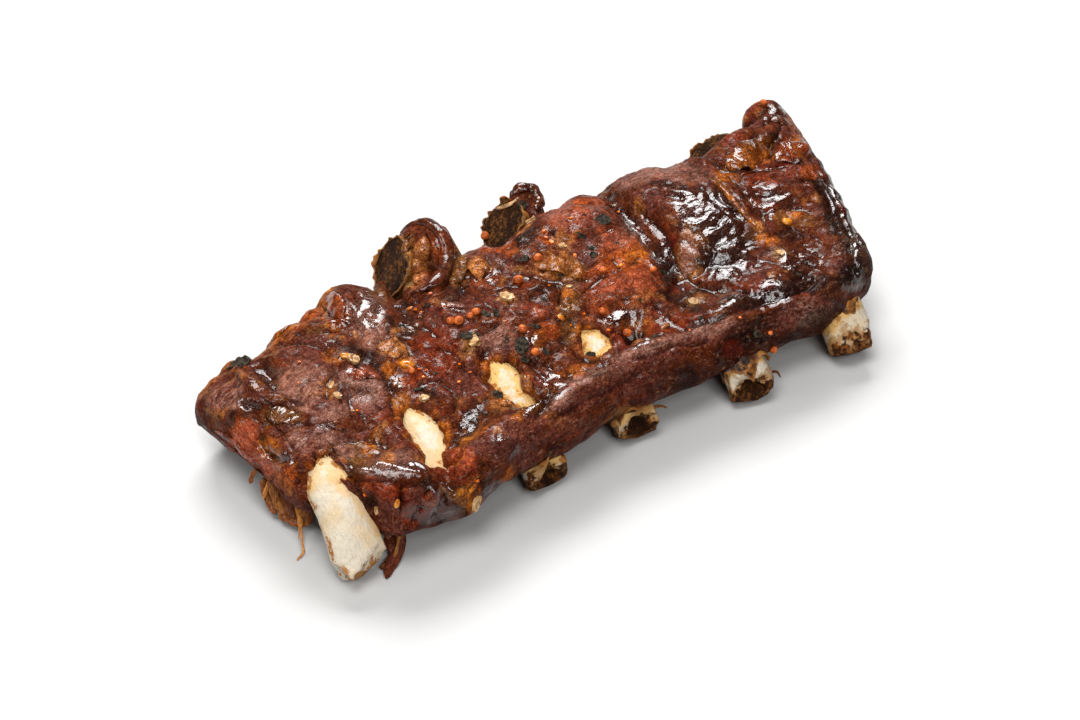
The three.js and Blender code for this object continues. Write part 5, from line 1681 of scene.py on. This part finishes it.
# %% Shreds
def at_height(u, v, height):
    ray = VIEW_TURN @ np.array(ray_in_view(u, v))
    start = VIEW_FROM / MM + BOX_MIDDLE
    return start + ray * (height - start[2]) / ray[2]


SHRED_GAP = 0.03
# (width in mm, thickness in mm, share of gold, points as place in the picture and height)
SHREDS = [
    (3.2, 1.1, 0.2, [(264, 478, 13), (266, 490, 9), (270, 503, 5.5), (276, 515, 3.5)]),
    (3.8, 1.2, 0.4, [(272, 482, 13), (277, 498, 8), (283, 512, 4.5), (284, 522, 3)]),
    (3.4, 1.0, 0.1, [(283, 486, 13), (288, 500, 8), (292, 516, 4.5), (294, 524, 3)]),
    (2.0, 0.8, 0.9, [(294, 492, 13), (298, 508, 8), (300, 520, 5), (301, 530, 3.4)]),
    (3.6, 1.2, 0.3, [(303, 494, 13), (306, 508, 8), (307, 518, 5), (303, 527, 3)]),
    (2.4, 0.9, 0.2, [(281, 515, 4.5), (290, 521, 4), (299, 523, 4), (306, 519, 5)]),
    (1.5, 0.7, 0.7, [(270, 480, 13), (266, 490, 10), (263, 499, 8)]),
    (0.8, 0.6, 1.0, [(297, 505, 7.5), (300, 520, 4.6), (302, 534, 3.0), (302.5, 545, 2.0),
        (303.5, 552, 1.2), (299, 558, 0.6), (296.5, 561, 0.4)]),
    (0.45, 0.4, 1.0, [(299, 526, 4.2), (299, 534, 3.2), (298, 540, 2.4)]),
    (4.8, 2.0, 0.0, [(392, 492, 16), (394, 508, 11), (396, 524, 7), (398, 540, 4), (397, 553, 2.2),
        (390, 566, 1.2), (386, 579, 0.8)]),
    (4.2, 1.6, 0.0, [(386, 500, 14), (388, 520, 8), (391, 540, 4), (393, 556, 2)]),
    (3.4, 1.3, 0.3, [(400, 494, 16), (401, 510, 11), (401, 528, 7), (399, 540, 4.5)]),
    (1.2, 0.8, 0.5, [(384, 498, 17), (391, 515, 12), (398, 535, 6.5), (396, 552, 3), (391, 563, 1.4)]),
    (1.4, 0.8, 0.0, [(402, 500, 14), (404, 516, 9), (402, 532, 5.5), (395, 548, 3), (386, 562, 1.6),
        (383, 570, 1.2)]),
    (1.8, 0.8, 0.2, [(391, 560, 1.8), (386, 565, 1.4), (380, 568, 1.0)]),
    (1.6, 0.7, 0.2, [(256, 470, 16), (252, 476, 14), (250, 484, 12)]),
    (4.6, 1.8, 0.1, [(370, 486, 22), (377, 503, 19), (384, 522, 14), (389, 540, 8)]),
    (0.9, 0.5, 0.3, [(652, 408, 9), (660, 406, 8), (668, 408, 7)]),
    (0.8, 0.5, 0.0, [(770, 372, 9), (777, 372, 8), (781, 378, 6.5)]),
]


def shred(width, thick, gold, line, seed, rings=26, sides=10):
    path = curve_through([at_height(*place) for place in line], rings)
    ahead = unit(np.gradient(path, axis=0))
    view = unit(VIEW_FROM / MM + BOX_MIDDLE - path)
    side = unit(np.cross(ahead, view))
    up = np.cross(side, ahead)
    angle = np.arange(sides) / sides * 2 * np.pi
    along = np.linspace(0, 1, rings)
    root = 0.3 + 0.7 * np.clip(along * 8, 0.2, 1)
    taper = np.clip((1 - along) * 6, 0, 1) ** 0.6 * mix(1, 0.75, along) * root
    wide = taper * width / 2 * (1 + 0.35 * fine_noise(path, 3, seed))
    skin = path[:, None] + (wide[:, None] * np.cos(angle))[..., None] * side[:, None]
    skin = skin + (np.maximum(taper, 0.25)[:, None] * thick / 2 * np.sin(angle))[..., None] * up[:, None]
    skin = skin + min(width, 2) * 0.16 * fine_noise(skin, 1.4, seed + 1, (1, 1, 2))[..., None] * up[:, None]
    skin[..., 2] = np.maximum(skin[..., 2], SHRED_GAP)
    return skin, {"gold": np.full(skin.shape[:2], gold)}


# (place on the ramp, colour)
DARK_FIBRE = [(0.3, srgb(26, 12, 8)), (0.5, srgb(78, 32, 18)), (0.7, srgb(128, 62, 30))]
GOLD_FIBRE = [(0.3, srgb(120, 66, 20)), (0.5, srgb(176, 110, 44)), (0.7, srgb(216, 160, 84))]


def roast_fibre():
    material, tree, shader = start_finish("roast_fibre")
    fibres = cloud(tree, where(tree, stretch=(3.5, 3.5, 0.6), wander=0.8), 1.6, 3.0, 0.6)
    dark, gold = ramp(tree, fibres, DARK_FIBRE), ramp(tree, fibres, GOLD_FIBRE)
    tone = blend(tree, share_of(tree, "gold"), dark, gold)
    feed(tree, shader, {"Base Color": tone, "Roughness": 0.3, "Specular IOR Level": 0.15})
    let_light_in(tree, shader, 0.12, (1.0, 0.4, 0.15), 1.5)
    bumps(tree, shader, [(fibres, 0.2)])
    return material


verts, faces, shred_shares = join_skins([shred(*row, seed=100 + 3 * n) for n, row in enumerate(SHREDS)])
shreds = new_piece("shreds", verts, faces, roast_fibre(), shred_shares)
print("shreds:", len(SHREDS), "with", len(shreds.data.polygons), "faces")

# %% [markdown]
# ## Spices by Geometry Nodes
# Every kind of spice is one small shape on many points, so one tree serves them all. It sets a ball
# or an angular chip, squashed to the shape of the bit, on every point, turns it to the surface, joins
# the bits, and then roughens all of them with one noise, so that no two are alike.

# %% The tree that sets bits on points
# Inputs of the tree: name, kind of socket
BIT_INPUTS = [
    ("Points", "Geometry"), ("Shape", "Vector"), ("Flaky", "Bool"), ("Roughen", "Float"),
    ("Wave", "Float"), ("Finish", "Material"),
]
# What every point carries: name, type
POINT_VALUES = {"facing": "FLOAT_VECTOR", "along": "FLOAT_VECTOR", "size": "FLOAT"}
CHIP = {"Vertices": 7, "Radius": 0.5, "Depth": 1.0, "Side Segments": 1}


def bit_tree():
    tree = bpy.data.node_groups.new("bits_on_points", "GeometryNodeTree")
    for label, kind in BIT_INPUTS:
        tree.interface.new_socket(label, in_out="INPUT", socket_type="NodeSocket" + kind)
    tree.interface.new_socket("Bits", in_out="OUTPUT", socket_type="NodeSocketGeometry")

    def add(kind, values=None, output=0, **settings):
        return put(tree, kind, values, **settings).outputs[output]

    given = put(tree, "NodeGroupInput").outputs
    ball = add("GeometryNodeMeshIcoSphere", {"Radius": 0.5, "Subdivisions": 3})
    chip = add("GeometryNodeMeshCylinder", CHIP, fill_type="TRIANGLE_FAN")
    chip = add("GeometryNodeSubdivideMesh", {"Mesh": chip, "Level": 2})
    choice = {"Switch": given["Flaky"], "False": ball, "True": chip}
    bit = add("GeometryNodeSwitch", choice, input_type="GEOMETRY")
    bit = add("GeometryNodeTransform", {"Geometry": bit, "Scale": given["Shape"]})
    facing, along, size = (
        add("GeometryNodeInputNamedAttribute", {"Name": name}, "Attribute", data_type=kind)
        for name, kind in POINT_VALUES.items())
    turn = add("FunctionNodeAxesToRotation", {0: facing, 1: along}, primary_axis="Z", secondary_axis="X")
    placing = {"Points": given["Points"], "Instance": bit, "Rotation": turn, "Scale": size}
    bits = add("GeometryNodeInstanceOnPoints", placing)
    bits = add("GeometryNodeRealizeInstances", {"Geometry": bits})
    scale = add("ShaderNodeMath", {0: 1000.0, 1: given["Wave"]}, operation="DIVIDE")
    ripple = add("ShaderNodeTexNoise", {"Scale": scale, "Detail": 2.0}, "Color")
    push = shifted(tree, "SUBTRACT", {0: ripple, 1: (0.5, 0.5, 0.5)})
    push = shifted(tree, "SCALE", {0: push, "Scale": given["Roughen"]})
    bits = add("GeometryNodeSetPosition", {"Geometry": bits, "Offset": push})
    round_bit = add("FunctionNodeBooleanMath", {0: given["Flaky"]}, operation="NOT")
    bits = add("GeometryNodeSetShadeSmooth", {"Geometry": bits, "Shade Smooth": round_bit})
    bits = add("GeometryNodeSetMaterial", {"Geometry": bits, "Material": given["Finish"]})
    put(tree, "NodeGroupOutput", {0: bits})
    return tree


BITS = bit_tree()
BIT_SOCKETS = {item.name: item.identifier for item in BITS.interface.items_tree if item.in_out == "INPUT"}
print("the tree has inputs:", list(BIT_SOCKETS))


# %% Set the bits of one kind
def points_on_crust(rows, thick, sink):
    """rows: (place in the picture, size in mm, turn in the picture in degrees if it has one)"""
    spots, values = [], {name: [] for name in POINT_VALUES}
    for u, v, size, *turn in rows:
        hit, facing = seen_at(u, v)
        if hit is None:
            continue
        angle = math.radians(sum(turn))
        along = Vector((VIEW_TURN @ np.array([math.cos(angle), -math.sin(angle), 0])).tolist())
        spots.append(tuple(hit + facing * size * MM * thick * (0.5 - sink)))
        values["facing"].append(tuple(facing))
        values["along"].append(tuple((along - facing * along.dot(facing)).normalized()))
        values["size"].append(size * MM)
    return spots, values


def bits_piece(name, rows, shape, flaky, roughen, wave, finish, sink):
    spots, values = points_on_crust(rows, shape[2], sink)
    mesh = bpy.data.meshes.new(name + "_points")
    mesh.from_pydata(spots, [], [])
    for label, kind in POINT_VALUES.items():
        stored = mesh.attributes.new(label, kind, "POINT")
        field = "vector" if kind == "FLOAT_VECTOR" else "value"
        stored.data.foreach_set(field, np.array(values[label], np.float32).ravel())
    holder = bpy.data.objects.new(name + "_points", mesh)
    bpy.context.scene.collection.objects.link(holder)
    modifier = holder.modifiers.new("bits", "NODES")
    modifier.node_group = BITS
    given = {"Shape": shape, "Flaky": flaky, "Roughen": roughen * MM, "Wave": wave, "Finish": finish}
    for label, value in given.items():
        modifier[BIT_SOCKETS[label]] = value
    ready = holder.evaluated_get(bpy.context.evaluated_depsgraph_get())
    made = bpy.data.meshes.new_from_object(ready)
    made.name = name
    bpy.data.objects.remove(holder)
    piece = bpy.data.objects.new(name, made)
    bpy.context.scene.collection.objects.link(piece)
    return piece


print("each point carries:", list(POINT_VALUES))

# %% [markdown]
# ## Seeds, flakes and crumbs
# The rub left mustard seeds, black flakes of herb, grains of chilli, a few long seeds, and pale bits
# of onion and fat. Their finishes are simple but not flat: a seed is a warm waxy ball with darker
# patches, and a flake is matte and nearly black with brown in it.

# %% Finishes of the rub
def speckled(name, low, high, size, roughness, coat=0.0, depth=0.06, glow=0.0):
    material, tree, shader = start_finish(name)
    tone = blend(tree, step(tree, cloud(tree, where(tree), size, 3.0, 0.6), 0.35, 0.65), low, high)
    feed(tree, shader, {
        "Base Color": tone, "Roughness": roughness, "Specular IOR Level": 0.08,
        "Coat Weight": coat, "Coat Roughness": 0.1})
    if glow:
        let_light_in(tree, shader, glow, (1.0, 0.5, 0.2), 1.0)
    bumps(tree, shader, [(cloud(tree, where(tree), size * 0.4, 2.0, 0.6), depth)])
    return material


# Name, dark and pale tone, size of the speckles in mm, roughness, coat, bump in mm, glow
seed_finish = speckled("mustard_seed", srgb(126, 52, 18), srgb(194, 100, 42), 2.0, 0.45, 0.2, 0.06, 0.1)
flake_finish = speckled("herb_flake", srgb(17, 13, 9), srgb(58, 50, 38), 0.9, 0.6, 0.0, 0.1)
chilli_finish = speckled("chilli_grain", srgb(168, 46, 8), srgb(236, 126, 24), 0.8, 0.25, 0.5, 0.03, 0.1)
husk_finish = speckled("long_seed", srgb(70, 34, 20), srgb(150, 92, 52), 0.7, 0.4, 0.2, 0.1)
onion_finish = speckled("onion_bit", srgb(130, 90, 54), srgb(186, 152, 106), 1.6, 0.25, 0.4, 0.05, 0.2)
jelly_finish = speckled("jelly_drop", srgb(150, 78, 14), srgb(204, 134, 40), 3.0, 0.12, 0.6, 0.03, 0.25)
print("nodes in the finish of a seed:", len(seed_finish.node_tree.nodes))

# %% Place the rub
# (place in the picture, size in mm, turn in degrees)
SEEDS = [
    (486, 236, 3.1), (519, 281, 3.3), (476.5, 313, 2.9), (458, 321, 3.2), (450, 322, 2.8),
    (522.5, 330, 3.0), (535, 353.5, 2.9), (537, 259, 3.2), (603.5, 271, 2.8), (603, 312, 2.8),
    (626.5, 333, 2.8), (772.5, 348.5, 2.7), (653, 270.5, 2.4), (763, 104, 2.6), (551, 196, 2.4),
    (770, 333, 1.7), (411, 372, 2.4), (470.5, 316.5, 2.4), (693, 421, 2.4),
]
FLAKES = [
    (603, 220, 4.6, 20), (594.5, 256, 3.1, 60), (590, 248, 2.6, 10), (581, 236, 2.7, 50),
    (498, 315, 3.4, 70), (486, 314, 2.8, 30), (466.5, 336, 3.8, 10), (522, 346, 5.2, 80),
    (525, 359, 2.8, 40), (537, 327, 2.3), (522.5, 205.5, 3.4), (524, 259, 3.0), (498, 394.5, 3.0, 30),
    (418.5, 389.5, 3.0, 10), (591, 356, 3.4, 20), (476.5, 334, 1.7), (507, 338.5, 1.2), (531, 325, 1.4),
    (544, 299, 1.5, 40), (612, 206, 1.6), (427, 306, 1.6), (405, 303, 1.8, 10), (663, 272, 2.6),
    (436, 373, 1.3), (560, 276, 1.2), (584, 215, 1.2), (617, 243, 1.2), (241, 363, 5.4, -25),
    (233, 367, 3.4, -40), (640, 300, 1.3), (655, 336, 1.5), (799, 274, 2.2), (757, 334, 2.6, 20),
    (731, 298, 2.0), (546, 352, 2.4, 60), (700, 318, 1.4),
]
CHILLI = [
    (544, 231.5, 1.3), (551.5, 243, 1.9, 70), (546, 238, 1.1), (574.5, 256.5, 1.6, 70),
    (570.5, 218.5, 1.0), (430.5, 294, 1.1), (419, 369.5, 1.0), (426, 370.5, 1.0), (423, 377, 0.9),
    (459, 382, 1.1), (459, 364.5, 0.9), (549, 285.5, 0.8), (618, 212, 0.9), (421.5, 312.5, 0.8),
    (583.5, 314, 0.9), (570.5, 325.5, 0.8), (416, 309.5, 1.0), (299.5, 362.5, 0.8), (298.5, 383, 0.8),
    (476.5, 481, 1.3), (444, 306, 0.8), (470, 372, 0.8), (506, 321, 0.7), (357, 410.5, 0.8),
    (323, 319, 0.7), (365, 495, 1.0), (640, 262, 0.9), (608, 330, 1.0), (740, 318, 1.0), (690, 330, 0.9),
]
LONG_SEEDS = [(665, 327.5, 4.8, -70), (355, 336, 4.2, 80), (526.5, 383, 5.0, -70), (553, 240, 3.6, 60)]
ONION = [
    (353, 359.5, 4.0, 20), (331.5, 386, 2.8, 80), (337.5, 396, 2.8, 60), (507, 298, 4.6, 10),
    (569, 287, 2.2), (562.5, 246, 2.6), (567.5, 308, 2.0), (424.5, 399, 3.4, -30), (780, 253.5, 3.0, 20),
    (693, 302, 3.4, 10), (475.5, 503.5, 4.4, -60), (377.5, 510.5, 2.4, -60), (353, 411, 0.9),
    (474, 342.5, 5.6, 50), (531, 221, 4.0, 50),
]
JELLY = [
    (407, 365, 4.6, 15), (396.5, 503.5, 2.6, 80), (501.5, 497.5, 3.0), (345, 356, 3.0), (410, 309, 2.0),
    (561, 318, 2.6, 40), (620, 266, 2.2), (787, 222, 3.4, 10),
]

# (rows, shape, whether it is flaky, roughening in mm, its wave in mm, finish, sunk share)
RUB = {
    "mustard_seeds": (SEEDS, (0.95, 0.88, 0.8), False, 0.5, 2.2, seed_finish, 0.24),
    "herb_flakes": (FLAKES, (1.15, 0.85, 0.1), True, 1.5, 1.3, flake_finish, 0.0),
    "chilli_grains": (CHILLI, (1, 0.7, 0.5), True, 0.5, 0.8, chilli_finish, 0.2),
    "long_seeds": (LONG_SEEDS, (1, 0.42, 0.34), False, 0.3, 1.2, husk_finish, 0.3),
    "onion_bits": (ONION, (1, 0.7, 0.3), True, 1.5, 1.9, onion_finish, 0.25),
    "jelly_drops": (JELLY, (1, 0.7, 0.42), False, 0.5, 2.6, jelly_finish, 0.3),
}
rub = [bits_piece(name, *settings) for name, settings in RUB.items()]
print("rub faces:", {piece.name: len(piece.data.polygons) for piece in rub})

# %% [markdown]
# ## Floor and light
# Four soft lights hang over a pale floor. The large one behind the rack gives the wet surface its
# white glints. The ones above, at the left and in front open the shadows of the lip.

# %% Floor and light
FLOOR_HALF = 3
FLOOR_GREY = (0.47, 0.467, 0.46, 1)
ROOM_STRENGTH = 0.04


def make_floor():
    mesh = bpy.data.meshes.new("floor")
    corners = [(x * FLOOR_HALF, y * FLOOR_HALF, 0) for x, y in ((-1, -1), (1, -1), (1, 1), (-1, 1))]
    mesh.from_pydata(corners, [], [(0, 1, 2, 3)])
    floor = bpy.data.objects.new("floor", mesh)
    bpy.context.scene.collection.objects.link(floor)
    material, tree, shader = start_finish("pale_floor")
    feed(tree, shader, {"Base Color": FLOOR_GREY, "Roughness": 0.75, "Specular IOR Level": 0.2})
    mesh.materials.append(material)


def soft_light(name, place, target, width, height, watts):
    data = bpy.data.lights.new(name, "AREA")
    data.shape = "RECTANGLE"
    data.size, data.size_y = width, height
    data.energy = watts
    light = bpy.data.objects.new(name, data)
    light.location = place
    light.rotation_euler = (Vector(target) - Vector(place)).to_track_quat("-Z", "Y").to_euler()
    bpy.context.scene.collection.objects.link(light)


def in_room(ahead, left, height):
    """metres ahead along the camera's heading, to its left, and up"""
    return AHEAD * ahead + LEFTWARD * left + Vector((0, 0, height))


AHEAD = Vector((math.cos(VIEW_HEADING), math.sin(VIEW_HEADING), 0))
LEFTWARD = Vector((-math.sin(VIEW_HEADING), math.cos(VIEW_HEADING), 0))
RACK = (0, 0, 0)
RACK_LIP = (0, 0, 0.01)
make_floor()
# Name, place, target, width and height in metres, watts
soft_light("window_behind", in_room(0.9, 0.12, 1.02), RACK, 0.84, 0.56, 31)
soft_light("sky_above", (-0.4, -0.25, 1.25), RACK, 0.6, 0.6, 13)
soft_light("lamp_left", in_room(-0.5, 0.95, 0.6), RACK_LIP, 0.4, 0.4, 5)
soft_light("room_in_front", in_room(-1.0, -0.4, 1.0), RACK_LIP, 0.6, 0.6, 11)
world = bpy.data.worlds.new("room")
bpy.context.scene.world = world
world.use_nodes = True
world.node_tree.nodes["Background"].inputs["Color"].default_value = (1, 1, 1, 1)
world.node_tree.nodes["Background"].inputs["Strength"].default_value = ROOM_STRENGTH
bpy.context.scene.view_settings.view_transform = "Standard"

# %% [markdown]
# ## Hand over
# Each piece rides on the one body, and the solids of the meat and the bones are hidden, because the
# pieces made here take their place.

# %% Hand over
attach(meat, "root")
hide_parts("meat")
for bone_name, piece in bones.items():
    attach(piece, "root")
    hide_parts(bone_name)

for piece in (sleeves, rims):
    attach(piece, "root")
for piece in (shreds, rolls, *rub):
    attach(piece, "root")
